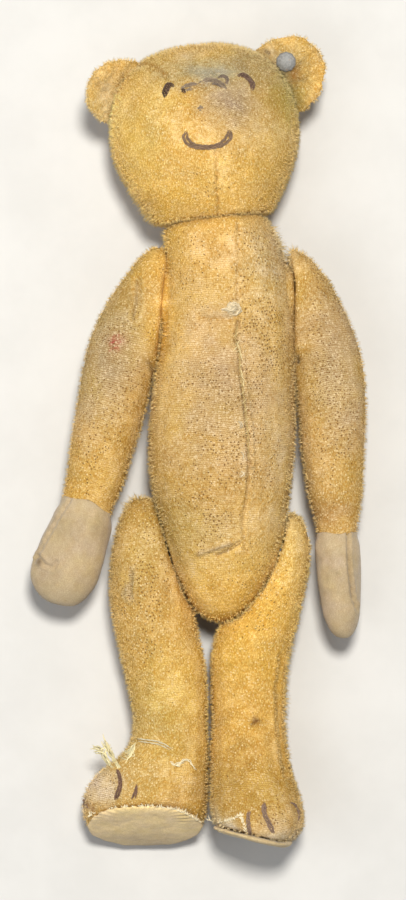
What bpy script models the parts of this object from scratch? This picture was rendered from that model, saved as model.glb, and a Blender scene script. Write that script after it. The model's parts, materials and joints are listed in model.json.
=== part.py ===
"""Threadbare jointed teddy bear, lying on its back.

Metres, +Z up. The head points to +Y and the bear's own left side to +X.
The origin is the middle of the flat that the back rests on.
A stuffed mohair torso carries the head, two arms and two legs on disc joints:
a card disc and a steel washer on each side of the cloth, held by a split pin.
"""
import math

import bmesh
import bpy
from mathutils import Matrix, Vector
from mathutils.bvhtree import BVHTree

MM = 0.001

# Clearances and cloth
GAP = 0.3 * MM
CLOTH = 1.2 * MM
FELT = 1.1 * MM

# Torso, from the neck face to the crotch
TORSO_LENGTH = 123.6 * MM
TORSO_WIDTH = 45.6 * MM
TORSO_DEPTH = 46.0 * MM
NECK_Y = 64.4 * MM
NECK_X = -2.6 * MM
NECK_Z = 21.0 * MM
NECK_TILT = math.radians(6.0)

# Head
HEAD_HEIGHT = 54.5 * MM
HEAD_WIDTH = 58.4 * MM
HEAD_DEPTH = 46.0 * MM
HEAD_BACK = 0.7 * MM
MUZZLE_LENGTH = 9.0 * MM
MUZZLE_WIDTH = 9.5 * MM
MUZZLE_HEIGHT = 9.0 * MM
MUZZLE_LEVEL = 27.5 * MM
MUZZLE_SIDE = 1.0 * MM

# Ears
LEFT_EAR_WIDTH = 25.0 * MM
RIGHT_EAR_WIDTH = 21.8 * MM
EAR_HEIGHT = 15.5 * MM
EAR_THICKNESS = 3.6 * MM
EAR_CUP = 2.2 * MM
EAR_ROOT = 5.0 * MM

LEFT_EAR_UP = 40.5 * MM
LEFT_EAR_SIDE = 24.3 * MM
LEFT_EAR_WAY = Vector((0.75, 0.66, 0.05))
RIGHT_EAR_UP = 42.4 * MM
RIGHT_EAR_SIDE = 24.0 * MM
RIGHT_EAR_WAY = Vector((-0.66, 0.20, 0.72))
LEFT_EAR_FACING = Vector((0, 0, 1))
RIGHT_EAR_FACING = Vector((0.5, -0.35, 1))
EAR_LEVEL = 22.0 * MM

# Stud in the left ear
STUD_RADIUS = 3.1 * MM
STUD_DOME = 0.9 * MM
STUD_SHANK = 0.8 * MM
STUD_CLINCH = 2.0 * MM
STUD_PLATE = 0.45 * MM
STUD_UP = 6.2 * MM
STUD_ACROSS = -3.2 * MM

# Arms
RIGHT_ARM_LENGTH = 110.5 * MM
LEFT_ARM_LENGTH = 120.5 * MM
ARM_WIDTH = 23.0 * MM
ARM_DEPTH = 22.0 * MM
SHOULDER_Y = 41.0 * MM
SHOULDER_Z = 22.0 * MM
RIGHT_SHOULDER_TILT = math.radians(6.0)
LEFT_SHOULDER_TILT = math.radians(0.0)
RIGHT_SHOULDER_REACH = 12.0 * MM
LEFT_SHOULDER_REACH = 60.0 * MM
SHOULDER_TRIM = 31.0 * MM

# Legs
LEG_LENGTH = 108.0 * MM
LEG_WIDTH = 24.0 * MM
LEG_DEPTH = 26.0 * MM
HIP_Y = -37.6 * MM
HIP_Z = 20.0 * MM
RIGHT_HIP_TILT = math.radians(-17.0)
LEFT_HIP_TILT = math.radians(-16.0)
HIP_REACH = 27.0 * MM
SWING_GAP = 0.8 * MM
SWING_STEP = 1.5 * MM
SWING_DEPTH = 24.0 * MM
SWING_TOP = 0.4

# Disc joints
NECK_DISC_RADIUS = 11.0 * MM
SHOULDER_DISC_RADIUS = 8.5 * MM
HIP_DISC_RADIUS = 9.0 * MM
DISC_THICKNESS = 1.6 * MM
WASHER_RADIUS = 4.2 * MM
WASHER_THICKNESS = 0.6 * MM
WIRE_RADIUS = 0.45 * MM
EYE_RADIUS = 1.0 * MM
PIN_CURL = 3.2 * MM
SIDE_DISC_DEPTH = 3.0 * MM

# Threads
THREAD_RADIUS = 0.5 * MM
CLAW_RADIUS = 0.4 * MM

# How finely the soft forms are cut
RING_SIDES = 12
LIMB_SIDES = 8
EAR_SIDES = 8
ROUND_SIDES = 10

# Torso stations: down, right side, left side, back, front.
# The first is a share of the length, the next two of the width, the last two of the depth.
TORSO_STATIONS = (
    (-0.030, 0.385, 0.275, 0.10, 0.80),
    (0.040, 0.395, 0.355, 0.06, 0.86),
    (0.120, 0.380, 0.455, 0.02, 0.90),
    (0.200, 0.393, 0.487, -0.02, 0.94),
    (0.330, 0.425, 0.500, -0.02, 0.97),
    (0.430, 0.478, 0.495, -0.02, 0.99),
    (0.520, 0.495, 0.500, -0.02, 1.00),
    (0.600, 0.503, 0.482, -0.02, 1.00),
    (0.690, 0.467, 0.460, -0.02, 0.98),
    (0.790, 0.388, 0.412, 0.00, 0.93),
    (0.860, 0.327, 0.368, 0.03, 0.87),
    (0.930, 0.260, 0.275, 0.10, 0.78),
    (0.975, 0.165, 0.160, 0.20, 0.66),
    (1.000, 0.060, 0.040, 0.34, 0.52),
)

# Head stations: up, half width, back, front.
HEAD_STATIONS = (
    (-0.050, 0.275, 0.22, 0.76),
    (0.025, 0.320, 0.15, 0.82),
    (0.100, 0.362, 0.09, 0.88),
    (0.190, 0.412, 0.03, 0.94),
    (0.290, 0.460, 0.00, 0.98),
    (0.400, 0.495, 0.00, 1.00),
    (0.520, 0.500, 0.00, 1.00),
    (0.640, 0.490, 0.01, 0.98),
    (0.750, 0.460, 0.05, 0.93),
    (0.850, 0.400, 0.12, 0.85),
    (0.930, 0.310, 0.21, 0.75),
    (0.980, 0.200, 0.31, 0.65),
    (1.000, 0.070, 0.42, 0.54),
)

# Arm stations: down from the shoulder top, inner edge, outer edge, back, front, slant.
# The edges are measured outwards from the joint face, the slant is the ring's lean.
RIGHT_ARM_STATIONS = (
    (0.000, -0.02, 0.10, -0.14, 0.14, 0.0),
    (0.045, -0.14, 0.34, -0.36, 0.36, 0.0),
    (0.120, -0.16, 0.60, -0.46, 0.46, 0.0),
    (0.205, -0.13, 0.86, -0.50, 0.50, 0.0),
    (0.290, 0.03, 0.99, -0.50, 0.50, 0.0),
    (0.390, 0.17, 1.07, -0.50, 0.50, 0.05),
    (0.490, 0.24, 1.15, -0.49, 0.48, 0.12),
    (0.580, 0.39, 1.20, -0.48, 0.45, 0.22),
    (0.650, 0.49, 1.25, -0.47, 0.41, 0.30),
    (0.706, 0.57, 1.31, -0.46, 0.38, 0.32),
    (0.800, 0.68, 1.51, -0.45, 0.34, 0.32),
    (0.890, 0.79, 1.72, -0.44, 0.33, 0.32),
    (0.945, 0.92, 1.76, -0.40, 0.29, 0.30),
    (0.985, 1.09, 1.66, -0.28, 0.18, 0.25),
    (1.000, 1.23, 1.52, -0.14, 0.04, 0.20),
)
LEFT_ARM_STATIONS = (
    (0.000, -0.16, 0.04, -0.14, 0.14, 0.0),
    (0.035, -0.24, 0.24, -0.34, 0.34, 0.0),
    (0.090, -0.20, 0.48, -0.45, 0.45, 0.0),
    (0.160, -0.16, 0.66, -0.50, 0.50, 0.0),
    (0.250, -0.10, 0.86, -0.50, 0.50, 0.0),
    (0.350, 0.02, 0.95, -0.50, 0.50, 0.0),
    (0.455, 0.03, 0.94, -0.50, 0.49, 0.0),
    (0.560, 0.09, 0.91, -0.49, 0.46, 0.0),
    (0.645, 0.17, 0.89, -0.47, 0.42, 0.0),
    (0.708, 0.22, 0.87, -0.46, 0.39, 0.0),
    (0.800, 0.26, 0.86, -0.45, 0.35, 0.0),
    (0.885, 0.30, 0.86, -0.44, 0.33, 0.0),
    (0.940, 0.34, 0.87, -0.40, 0.29, 0.0),
    (0.982, 0.46, 0.78, -0.28, 0.18, 0.0),
    (1.000, 0.55, 0.69, -0.14, 0.04, 0.0),
)
RIGHT_ARM_RISE = 15.5 * MM
LEFT_ARM_RISE = 15.0 * MM
RIGHT_PAD_RING_COUNT = 9
LEFT_PAD_RING_COUNT = 9

# Leg stations: down from the leg top, inner edge, outer edge, back, front, slant, lean.
# The slant turns the ring sideways and the lean tips its front up towards the knee.
RIGHT_LEG_STATIONS = (
    (0.000, 0.22, 0.42, -0.14, 0.14, 0.0, 0.0),
    (0.030, 0.08, 0.56, -0.32, 0.32, 0.0, 0.0),
    (0.085, -0.10, 0.66, -0.44, 0.44, 0.0, 0.0),
    (0.150, -0.16, 0.73, -0.50, 0.50, 0.0, 0.0),
    (0.230, -0.24, 0.77, -0.52, 0.52, 0.0, 0.0),
    (0.320, -0.32, 0.76, -0.55, 0.48, 0.0, 0.0),
    (0.420, -0.42, 0.66, -0.58, 0.42, 0.0, 0.0),
    (0.520, -0.51, 0.54, -0.60, 0.36, 0.0, 0.0),
    (0.610, -0.51, 0.47, -0.62, 0.32, 0.0, 0.0),
    (0.690, -0.51, 0.45, -0.64, 0.30, 0.0, 0.05),
    (0.745, -0.52, 0.58, -0.66, 0.31, 0.0, 0.15),
    (0.795, -0.53, 0.95, -0.68, 0.34, 0.0, 0.28),
    (0.848, -0.53, 1.11, -0.69, 0.36, 0.0, 0.46),
    (0.896, -0.51, 1.13, -0.69, 0.36, 0.0, 0.56),
    (0.930, -0.48, 1.09, -0.68, 0.35, 0.0, 0.58),
)
LEFT_LEG_STATIONS = (
    (0.040, 0.00, 0.17, -0.14, 0.14, 0.0, 0.0),
    (0.065, -0.16, 0.28, -0.32, 0.32, 0.0, 0.0),
    (0.105, -0.20, 0.36, -0.44, 0.44, 0.0, 0.0),
    (0.160, -0.25, 0.405, -0.50, 0.50, 0.0, 0.0),
    (0.230, -0.36, 0.36, -0.52, 0.52, 0.0, 0.0),
    (0.310, -0.60, 0.29, -0.55, 0.48, 0.0, 0.0),
    (0.395, -0.86, 0.20, -0.58, 0.42, 0.0, 0.0),
    (0.480, -0.91, 0.06, -0.60, 0.38, 0.0, 0.0),
    (0.570, -0.88, 0.06, -0.62, 0.34, 0.0, 0.0),
    (0.660, -0.88, 0.06, -0.64, 0.34, 0.0, 0.02),
    (0.740, -0.90, 0.09, -0.66, 0.44, -0.05, 0.05),
    (0.800, -0.90, 0.19, -0.68, 0.64, -0.12, 0.06),
    (0.860, -0.90, 0.30, -0.69, 0.80, -0.18, 0.06),
    (0.915, -0.90, 0.33, -0.69, 0.86, -0.22, 0.06),
    (0.955, -0.87, 0.30, -0.67, 0.84, -0.24, 0.06),
)
LEG_RISE = 17.0 * MM
SOLE_EDGE = 0.8 * MM

# Colours and finishes of the pieces
MOHAIR = ((0.74, 0.55, 0.27), 0.95, 0.0)
FELT_GREY = ((0.60, 0.53, 0.42), 0.95, 0.0)
THREAD_BROWN = ((0.16, 0.11, 0.08), 0.8, 0.0)
CARD = ((0.45, 0.34, 0.22), 0.9, 0.0)
STEEL = ((0.42, 0.41, 0.39), 0.5, 0.9)


def clear_scene():
    """Start from an empty scene."""
    for old in list(bpy.data.objects):
        bpy.data.objects.remove(old, do_unlink=True)


def new_collection(name):
    """A collection under the scene."""
    collection = bpy.data.collections.new(name)
    bpy.context.scene.collection.children.link(collection)
    return collection


def new_material(name, finish):
    """A material with one colour, roughness and metallic value."""
    colour, roughness, metallic = finish
    material = bpy.data.materials.new(name)
    material.use_nodes = True
    shader = material.node_tree.nodes["Principled BSDF"]
    shader.inputs["Base Color"].default_value = (*colour, 1.0)
    shader.inputs["Roughness"].default_value = roughness
    shader.inputs["Metallic"].default_value = metallic
    material.diffuse_color = (*colour, 1.0)
    return material


def add_object(name, mesh, joint, finish):
    """Link a world-space mesh as a piece whose origin is its joint's empty."""
    offset = joint.location
    mesh.transform(Matrix.Translation(-offset))
    piece = bpy.data.objects.new(name, mesh)
    PIECES.objects.link(piece)
    piece.parent = joint
    piece.data.materials.clear()
    piece.data.materials.append(new_material(name + "_finish", finish))
    return piece


def add_cutter(name, mesh):
    """Link a world-space mesh as a hidden cutter."""
    cutter = bpy.data.objects.new(name, mesh)
    CUTTERS.objects.link(cutter)
    cutter.hide_render = True
    cutter.display_type = "WIRE"
    return cutter


def cut(piece, cutter):
    """Take the cutter's form out of the piece."""
    boolean = piece.modifiers.new("cut_" + cutter.name, "BOOLEAN")
    boolean.operation = "DIFFERENCE"
    boolean.solver = "EXACT"
    boolean.object = cutter


def smooth_form(piece):
    """Round a coarse cage with one step of subdivision."""
    subsurf = piece.modifiers.new("soft_form", "SUBSURF")
    subsurf.levels = 1
    subsurf.render_levels = 1
    piece.data.shade_smooth()


def new_joint(name, pivot):
    """An empty on a joint's axis, which its pieces hang from."""
    joint = bpy.data.objects.new(name, None)
    PIECES.objects.link(joint)
    joint.location = pivot
    joint.empty_display_size = 5 * MM
    return joint


def evaluated_mesh(piece):
    """The piece's mesh in world space, with its modifiers."""
    bpy.context.view_layer.update()
    depsgraph = bpy.context.evaluated_depsgraph_get()
    mesh = bpy.data.meshes.new_from_object(piece.evaluated_get(depsgraph))
    mesh.transform(piece.matrix_world)
    return mesh


def rounded(value, squareness):
    """A cosine or sine, pushed towards the corners of its box."""
    return math.copysign(abs(value) ** squareness, value)


def section(middle, half_x, half_z, sides, squareness=0.9, slant=0.0, lean=0.0):
    """A closed ring of points across the Y direction.

    Subdivision draws a ring of this many sides in by a known share, which is given back here.
    """
    swell = 8 / (6 + 2 * math.cos(2 * math.pi / sides))
    ring = []
    for side in range(sides):
        angle = 2 * math.pi * (side + 0.5) / sides
        across = half_x * swell * rounded(math.cos(angle), squareness)
        high = half_z * swell * rounded(math.sin(angle), squareness)
        ring.append(middle + Vector((across, slant * across + lean * high, high)))
    return ring


def loft(name, rings):
    """A closed cage through rings of equal count, listed towards -Y."""
    form = bmesh.new()
    rows = [[form.verts.new(point) for point in ring] for ring in rings]
    count = len(rows[0])
    for upper, lower in zip(rows, rows[1:]):
        for side in range(count):
            after = (side + 1) % count
            form.faces.new((upper[side], upper[after], lower[after], lower[side]))
    form.faces.new(list(reversed(rows[0])))
    form.faces.new(rows[-1])
    bmesh.ops.recalc_face_normals(form, faces=form.faces)
    mesh = bpy.data.meshes.new(name)
    form.to_mesh(mesh)
    form.free()
    return mesh


def frame_along(origin, axis):
    """A matrix whose Z runs along the axis from the origin."""
    return Matrix.Translation(origin) @ axis.to_track_quat("Z", "Y").to_matrix().to_4x4()


def cylinder(name, origin, axis, radius, length, sides=ROUND_SIDES):
    """A plain cylinder from the origin along the axis."""
    form = bmesh.new()
    bmesh.ops.create_cone(
        form, cap_ends=True, segments=sides, radius1=radius, radius2=radius, depth=length,
        matrix=frame_along(origin, axis) @ Matrix.Translation((0, 0, length / 2)))
    mesh = bpy.data.meshes.new(name)
    form.to_mesh(mesh)
    form.free()
    return mesh


def turned(name, profile, origin, axis, sides=ROUND_SIDES):
    """A solid of revolution from (radius, height) points that start and end on the axis
    or, for a ring, close on themselves. The points run clockwise, outer side downwards."""
    form = bmesh.new()
    closed = profile[0][0] > 0
    points = [form.verts.new((radius, 0, height)) for radius, height in profile]
    edges = [form.edges.new(pair) for pair in zip(points, points[1:])]
    if closed:
        edges.append(form.edges.new((points[-1], points[0])))
    bmesh.ops.spin(
        form, geom=points + edges, axis=(0, 0, 1), cent=(0, 0, 0),
        steps=sides, angle=2 * math.pi, use_merge=True)
    bmesh.ops.remove_doubles(form, verts=form.verts, dist=1e-6)
    bmesh.ops.recalc_face_normals(form, faces=form.faces)
    form.transform(frame_along(origin, axis))
    mesh = bpy.data.meshes.new(name)
    form.to_mesh(mesh)
    form.free()
    return mesh


def ring_profile(inner, outer, low, high):
    """The section of a flat ring."""
    return ((inner, high), (outer, high), (outer, low), (inner, low))


def tube(name, points, radius, joint, finish, bevel=1):
    """A wire or thread through the points, with closed ends."""
    curve = bpy.data.curves.new(name, "CURVE")
    curve.dimensions = "3D"
    curve.bevel_depth = radius
    curve.bevel_resolution = bevel
    curve.use_fill_caps = True
    spline = curve.splines.new("POLY")
    spline.points.add(len(points) - 1)
    for spot, point in zip(spline.points, points):
        spot.co = (*(point - joint.location), 1.0)
    piece = bpy.data.objects.new(name, curve)
    PIECES.objects.link(piece)
    piece.parent = joint
    curve.materials.append(new_material(name + "_finish", finish))
    return piece


def smooth_path(knots, steps):
    """A curve through the knots, with this many steps from knot to knot."""
    path = []
    last = len(knots) - 1
    for index in range(last):
        before = knots[max(index - 1, 0)]
        start = knots[index]
        end = knots[index + 1]
        after = knots[min(index + 2, last)]
        for step in range(steps):
            share = step / steps
            path.append(0.5 * (
                2 * start + (end - before) * share
                + (2 * before - 5 * start + 4 * end - after) * share ** 2
                + (3 * start - before - 3 * end + after) * share ** 3))
    path.append(knots[last].copy())
    return path


# Torso
def torso_form():
    """The torso's cage: a long egg with its skewed neck face on top."""
    rings = []
    for down, right, left, back, front in TORSO_STATIONS:
        low = back * TORSO_DEPTH
        high = front * TORSO_DEPTH
        middle = Vector((
            (left - right) / 2 * TORSO_WIDTH,
            NECK_Y - down * TORSO_LENGTH,
            (low + high) / 2))
        tilt = math.tan(NECK_TILT) * max(0.0, 1 - down / 0.2)
        rings.append(section(
            middle, (left + right) / 2 * TORSO_WIDTH, (high - low) / 2, RING_SIDES,
            squareness=0.85, slant=tilt))
    return loft("torso", rings)


def add_torso():
    """The torso, with its back flattened where it lies."""
    torso = add_object("torso", torso_form(), ROOT, MOHAIR)
    smooth_form(torso)
    form = bmesh.new()
    bmesh.ops.create_cube(form, size=1.0)
    bmesh.ops.scale(form, vec=(2 * TORSO_WIDTH, 2 * TORSO_LENGTH, TORSO_DEPTH), verts=form.verts)
    bmesh.ops.translate(form, vec=(0, 0, -TORSO_DEPTH / 2), verts=form.verts)
    mesh = bpy.data.meshes.new("floor_cutter")
    form.to_mesh(mesh)
    form.free()
    cut(torso, add_cutter("floor_cutter", mesh))
    return torso


def add_face_cutter(name, pivot, axis, radius):
    """A cutter that trims a limb flat at its joint face, on the torso's side of it."""
    return add_cutter(name, cylinder(name, pivot, -axis, radius, radius, sides=24))


def add_swing_cutter(name, torso_mesh, pivot, axis):
    """A turned bowl that hugs the torso's lower end, for a leg that swings round it.

    Its radius at each depth is the torso's farthest point from the hip's axis there,
    leaving out the part of the torso above the hip, which the leg never reaches.
    """
    steps = int(SWING_DEPTH / SWING_STEP)
    spread = [0.0] * (steps + 1)
    for vertex in torso_mesh.vertices:
        offset = vertex.co - pivot
        depth = -offset.dot(axis)
        aside = offset + axis * depth
        step = int(depth / SWING_STEP)
        if aside.y < SWING_TOP * aside.length and 0 <= step <= steps:
            spread[step] = max(spread[step], aside.length)
    profile = [(0, 0)]
    widest = SHOULDER_DISC_RADIUS
    for step, radius in enumerate(spread):
        widest = max(widest, radius + SWING_GAP)
        profile.append((widest, -step * SWING_STEP))
    profile.append((widest, -2 * SWING_DEPTH))
    profile.append((0, -2 * SWING_DEPTH))
    return add_cutter(name, turned(name, profile, pivot, axis, sides=24))


# Disc joints
def joint_pocket(name, pivot, axis, disc_radius, depth, tail, tail_radius):
    """The stepped hollow that holds a disc, a washer and the end of the pin.

    It opens through the cloth at the joint face by the pin's hole.
    """
    hole = 2 * WIRE_RADIUS + 2 * GAP
    disc_top = depth + DISC_THICKNESS + 2 * GAP
    washer_top = disc_top + WASHER_THICKNESS + GAP
    profile = (
        (0, washer_top + tail),
        (tail_radius + GAP, washer_top + tail),
        (tail_radius + GAP, washer_top),
        (WASHER_RADIUS + GAP, washer_top),
        (WASHER_RADIUS + GAP, disc_top),
        (disc_radius + GAP, disc_top),
        (disc_radius + GAP, depth),
        (hole, depth),
        (hole, -CLOTH),
        (0, -CLOTH),
    )
    return add_cutter(name, turned(name, profile, pivot, axis))


def flat_ring(name, pivot, axis, radius, low, thickness, joint, finish):
    """A disc or a washer with its hole for the pin."""
    hole = 2 * WIRE_RADIUS + GAP
    profile = ring_profile(hole, radius, low, low + thickness)
    piece = add_object(name, turned(name, profile, pivot, axis), joint, finish)
    piece.data.shade_smooth()
    piece.data.set_sharp_from_angle(angle=math.radians(40))
    return piece


def split_pin(name, pivot, axis, head_at, tail_at, joint):
    """A split pin: an eye in the limb, two legs side by side, curled over in the torso."""
    across = axis.to_track_quat("Z", "Y") @ Vector((1, 0, 0))
    apart = WIRE_RADIUS + GAP / 2
    route = [
        (-apart - PIN_CURL * 0.75, -tail_at - WIRE_RADIUS - GAP),
        (-apart - PIN_CURL * 0.45, -tail_at - WIRE_RADIUS - GAP - 0.25 * PIN_CURL),
        (-apart - PIN_CURL * 0.12, -tail_at - WIRE_RADIUS - GAP - 0.2 * PIN_CURL),
        (-apart, -tail_at),
        (-apart, head_at),
    ]
    for step in range(1, 6):
        turn = math.radians(230 - 280 * step / 6)
        route.append((EYE_RADIUS * math.cos(turn), head_at + 1.2 * EYE_RADIUS + EYE_RADIUS * math.sin(turn)))
    mirrored = [(-side, along) for side, along in reversed(route[:5])]
    points = [pivot + across * side + axis * along for side, along in route + mirrored]
    return tube(name, points, WIRE_RADIUS, joint, STEEL)


def add_disc_joint(name, torso, limb, pivot, axis, radius, body_depth, joint):
    """All the hidden pieces of one disc joint, and the hollows that hold them."""
    eye_room = 2.6 * EYE_RADIUS + 2 * WIRE_RADIUS
    eye_side = EYE_RADIUS + WIRE_RADIUS
    curl_side = PIN_CURL + WIRE_RADIUS
    cut(limb, joint_pocket(name + "_limb_pocket", pivot, axis, radius, CLOTH, eye_room, eye_side))
    cut(torso, joint_pocket(name + "_body_pocket", pivot, -axis, radius, body_depth, PIN_CURL,
                            curl_side))
    limb_disc = CLOTH + GAP
    limb_washer = limb_disc + DISC_THICKNESS + GAP
    body_disc = body_depth + GAP
    body_washer = body_disc + DISC_THICKNESS + GAP
    flat_ring(name + "_limb_disc", pivot, axis, radius, limb_disc, DISC_THICKNESS, joint, CARD)
    flat_ring(name + "_limb_washer", pivot, axis, WASHER_RADIUS, limb_washer,
              WASHER_THICKNESS, joint, STEEL)
    flat_ring(name + "_body_disc", pivot, -axis, radius, body_disc, DISC_THICKNESS, ROOT, CARD)
    flat_ring(name + "_body_washer", pivot, -axis, WASHER_RADIUS, body_washer,
              WASHER_THICKNESS, ROOT, STEEL)
    split_pin(name + "_pin", pivot, axis, limb_washer + WASHER_THICKNESS + GAP,
              body_washer + WASHER_THICKNESS + GAP, joint)


def reach(mesh, pivot, axis, radius):
    """How far the mesh stands out along the axis, within a radius of it."""
    farthest = -1.0
    for vertex in mesh.vertices:
        offset = vertex.co - pivot
        along = offset.dot(axis)
        if (offset - axis * along).length < radius:
            farthest = max(farthest, along)
    return farthest


def joint_face(torso_mesh, side, tilt, level, height, radius):
    """The pivot and outward axis of a shoulder or hip that clears the torso."""
    axis = Vector((side * math.cos(tilt), math.sin(tilt), 0))
    middle = Vector((0, level, height))
    out = reach(torso_mesh, middle, axis, radius)
    return middle + Vector((side, 0, 0)) * (out + GAP) / math.cos(tilt), axis


# Arms
def arm_rings(stations, side, pivot, length, rise, first, inset):
    """The arm's rings from one station to the paw's tip, drawn in by an inset."""
    rings = []
    for down, inner, outer, back, front, slant in stations[first:]:
        middle = pivot + Vector((
            side * (inner + outer) / 2 * ARM_WIDTH,
            rise - down * (length - inset),
            (back + front) / 2 * ARM_DEPTH))
        rings.append(section(
            middle,
            max((outer - inner) / 2 * ARM_WIDTH - inset, 0.4 * MM),
            max((front - back) / 2 * ARM_DEPTH - inset, 0.4 * MM),
            LIMB_SIDES, slant=side * slant))
    return rings


def add_arm(name, stations, side, pivot, axis, length, rise, pad_ring, joint):
    """An arm of stuffed mohair, drawn in where the felt paw goes over its end."""
    outer = arm_rings(stations, side, pivot, length, rise, 0, 0.0)
    inner = arm_rings(stations, side, pivot, length, rise, 0, FELT + GAP)
    cage = outer[:pad_ring] + inner[pad_ring:]
    arm = add_object(name + "_arm", loft(name + "_arm", cage), joint, MOHAIR)
    smooth_form(arm)
    cut(arm, add_face_cutter(name + "_shoulder_face", pivot, axis, SHOULDER_TRIM))
    return arm


def add_paw(name, stations, side, pivot, length, rise, pad_ring, joint):
    """The felt paw: a cup of one felt thickness over the end of the arm."""
    outer = arm_rings(stations, side, pivot, length, rise, pad_ring, 0.0)
    hollow = arm_rings(stations, side, pivot, length, rise, pad_ring, FELT)
    mouth = [point + Vector((0, 3 * FELT, 0)) for point in hollow[0]]
    paw = add_object(name + "_paw_pad", loft(name + "_paw_pad", outer), joint, FELT_GREY)
    smooth_form(paw)
    cutter = add_cutter(name + "_paw_hollow", loft(name + "_paw_hollow", [mouth] + hollow))
    smooth_form(cutter)
    cut(paw, cutter)
    return paw


# Legs
def leg_rings(stations, side, pivot):
    """The leg's rings from its top to the sole."""
    rings = []
    for down, inner, outer, back, front, slant, lean in stations:
        middle = pivot + Vector((
            side * (inner + outer) / 2 * LEG_WIDTH,
            LEG_RISE - down * LEG_LENGTH,
            (back + front) / 2 * LEG_DEPTH))
        rings.append(section(
            middle, (outer - inner) / 2 * LEG_WIDTH, (front - back) / 2 * LEG_DEPTH,
            LIMB_SIDES, slant=side * slant, lean=lean))
    return rings


def shrunk(ring, share):
    """The ring drawn in towards its middle."""
    middle = sum(ring, Vector()) / len(ring)
    return [middle + (point - middle) * share for point in ring]


def moved(ring, offset):
    """The ring moved by an offset."""
    return [point + offset for point in ring]


def sole_normal(ring):
    """The outward direction of the sole that closes a foot's last ring."""
    middle = sum(ring, Vector()) / len(ring)
    normal = (ring[0] - middle).cross(ring[len(ring) // 4] - middle).normalized()
    if normal.y > 0:
        normal.negate()
    return normal


def add_leg(name, stations, side, pivot, axis, torso_mesh, joint):
    """A leg with its foot, cut to clear the torso and closed flat under the foot."""
    rings = leg_rings(stations, side, pivot)
    down = sole_normal(rings[-1])
    cage = rings[:-1] + [rings[-1], moved(shrunk(rings[-1], 0.96), down * SOLE_EDGE),
                         moved(shrunk(rings[-1], 0.80), down * SOLE_EDGE * 1.2)]
    leg = add_object(name + "_leg", loft(name + "_leg", cage), joint, MOHAIR)
    smooth_form(leg)
    cut(leg, add_swing_cutter(name + "_hip_face", torso_mesh, pivot, axis))
    return leg


def add_sole(name, stations, side, pivot, joint):
    """The felt sole: a flat oval sewn under the foot."""
    last = leg_rings(stations, side, pivot)[-1]
    down = sole_normal(last)
    top = down * (SOLE_EDGE * 1.2 + GAP)
    cage = [
        moved(shrunk(last, 0.70), top),
        moved(shrunk(last, 0.93), top),
        moved(shrunk(last, 1.00), top + down * FELT * 0.5),
        moved(shrunk(last, 0.93), top + down * FELT * 1.3),
        moved(shrunk(last, 0.60), top + down * FELT * 1.6),
    ]
    sole = add_object(name + "_foot_pad", loft(name + "_foot_pad", cage), joint, FELT_GREY)
    smooth_form(sole)
    return sole


# Head
def head_point(up, across, high):
    """A point of the head, from its height over the neck face and its place across it."""
    turn = Matrix.Rotation(NECK_TILT, 3, "Z")
    return Vector((NECK_X, NECK_Y, 0)) + turn @ Vector((across, up, high))


def head_ring(up, half_width, back, front):
    """One ring of the head, with its share of the muzzle."""
    low = HEAD_BACK + back * HEAD_DEPTH
    high = HEAD_BACK + front * HEAD_DEPTH
    flat = section(Vector((0, up, (low + high) / 2)), half_width, (high - low) / 2, RING_SIDES)
    ring = []
    for point in flat:
        rise = 0.0
        if point.z > (low + high) / 2:
            across = (point.x - MUZZLE_SIDE) / MUZZLE_WIDTH
            along = (point.y - MUZZLE_LEVEL) / MUZZLE_HEIGHT
            rise = MUZZLE_LENGTH * math.exp(-across ** 2 - along ** 2)
        ring.append(head_point(point.y, point.x, point.z + rise))
    return ring


def add_head(joint):
    """The head, flat at the neck."""
    rings = [
        head_ring(up * HEAD_HEIGHT, half * HEAD_WIDTH, back, front)
        for up, half, back, front in reversed(HEAD_STATIONS)]
    head = add_object("head", loft("head", rings), joint, MOHAIR)
    smooth_form(head)
    return head


def swollen_copy(mesh, name, distance):
    """A mesh grown by a distance along its normals."""
    copy = mesh.copy()
    copy.name = name
    normals = [vertex.normal.copy() for vertex in copy.vertices]
    for vertex, normal in zip(copy.vertices, normals):
        vertex.co += normal * distance
    return copy


# Ears
def ear_matrix(base, out, face):
    """The ear's frame: Y from its root to its tip, Z towards the side that the hollow faces."""
    up = out.normalized()
    front = (face - up * face.dot(up)).normalized()
    across = up.cross(front)
    return Matrix.Translation(base) @ Matrix((across, up, front)).transposed().to_4x4()


def add_ear(name, place, wide, joint, head_cutter):
    """A cupped half-round ear, its root trimmed to the head's surface."""
    rings = []
    for up, width, thick in EAR_STATIONS:
        height = up * EAR_HEIGHT if up > 0 else up * EAR_ROOT
        middle = Vector((0, height, EAR_CUP * (up ** 2 if up > 0 else 0)))
        ring = section(middle, width / 2 * wide, thick / 2 * EAR_THICKNESS, EAR_SIDES)
        rings.append([
            place @ (point + Vector((0, 0, EAR_CUP * (2 * point.x / wide) ** 2)))
            for point in ring])
    ear = add_object(name, loft(name, list(reversed(rings))), joint, MOHAIR)
    smooth_form(ear)
    cut(ear, head_cutter)
    return ear


EAR_STATIONS = (
    (-1.00, 0.96, 1.1),
    (0.00, 1.00, 1.1),
    (0.30, 0.99, 1.05),
    (0.58, 0.88, 1.0),
    (0.82, 0.66, 0.95),
    (0.95, 0.42, 0.80),
    (1.00, 0.22, 0.40),
)


def ear_middle(across, up):
    """The middle of the ear's thickness, over a place on it."""
    return EAR_CUP * ((up / EAR_HEIGHT) ** 2 + (2 * across / LEFT_EAR_WIDTH) ** 2)


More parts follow.
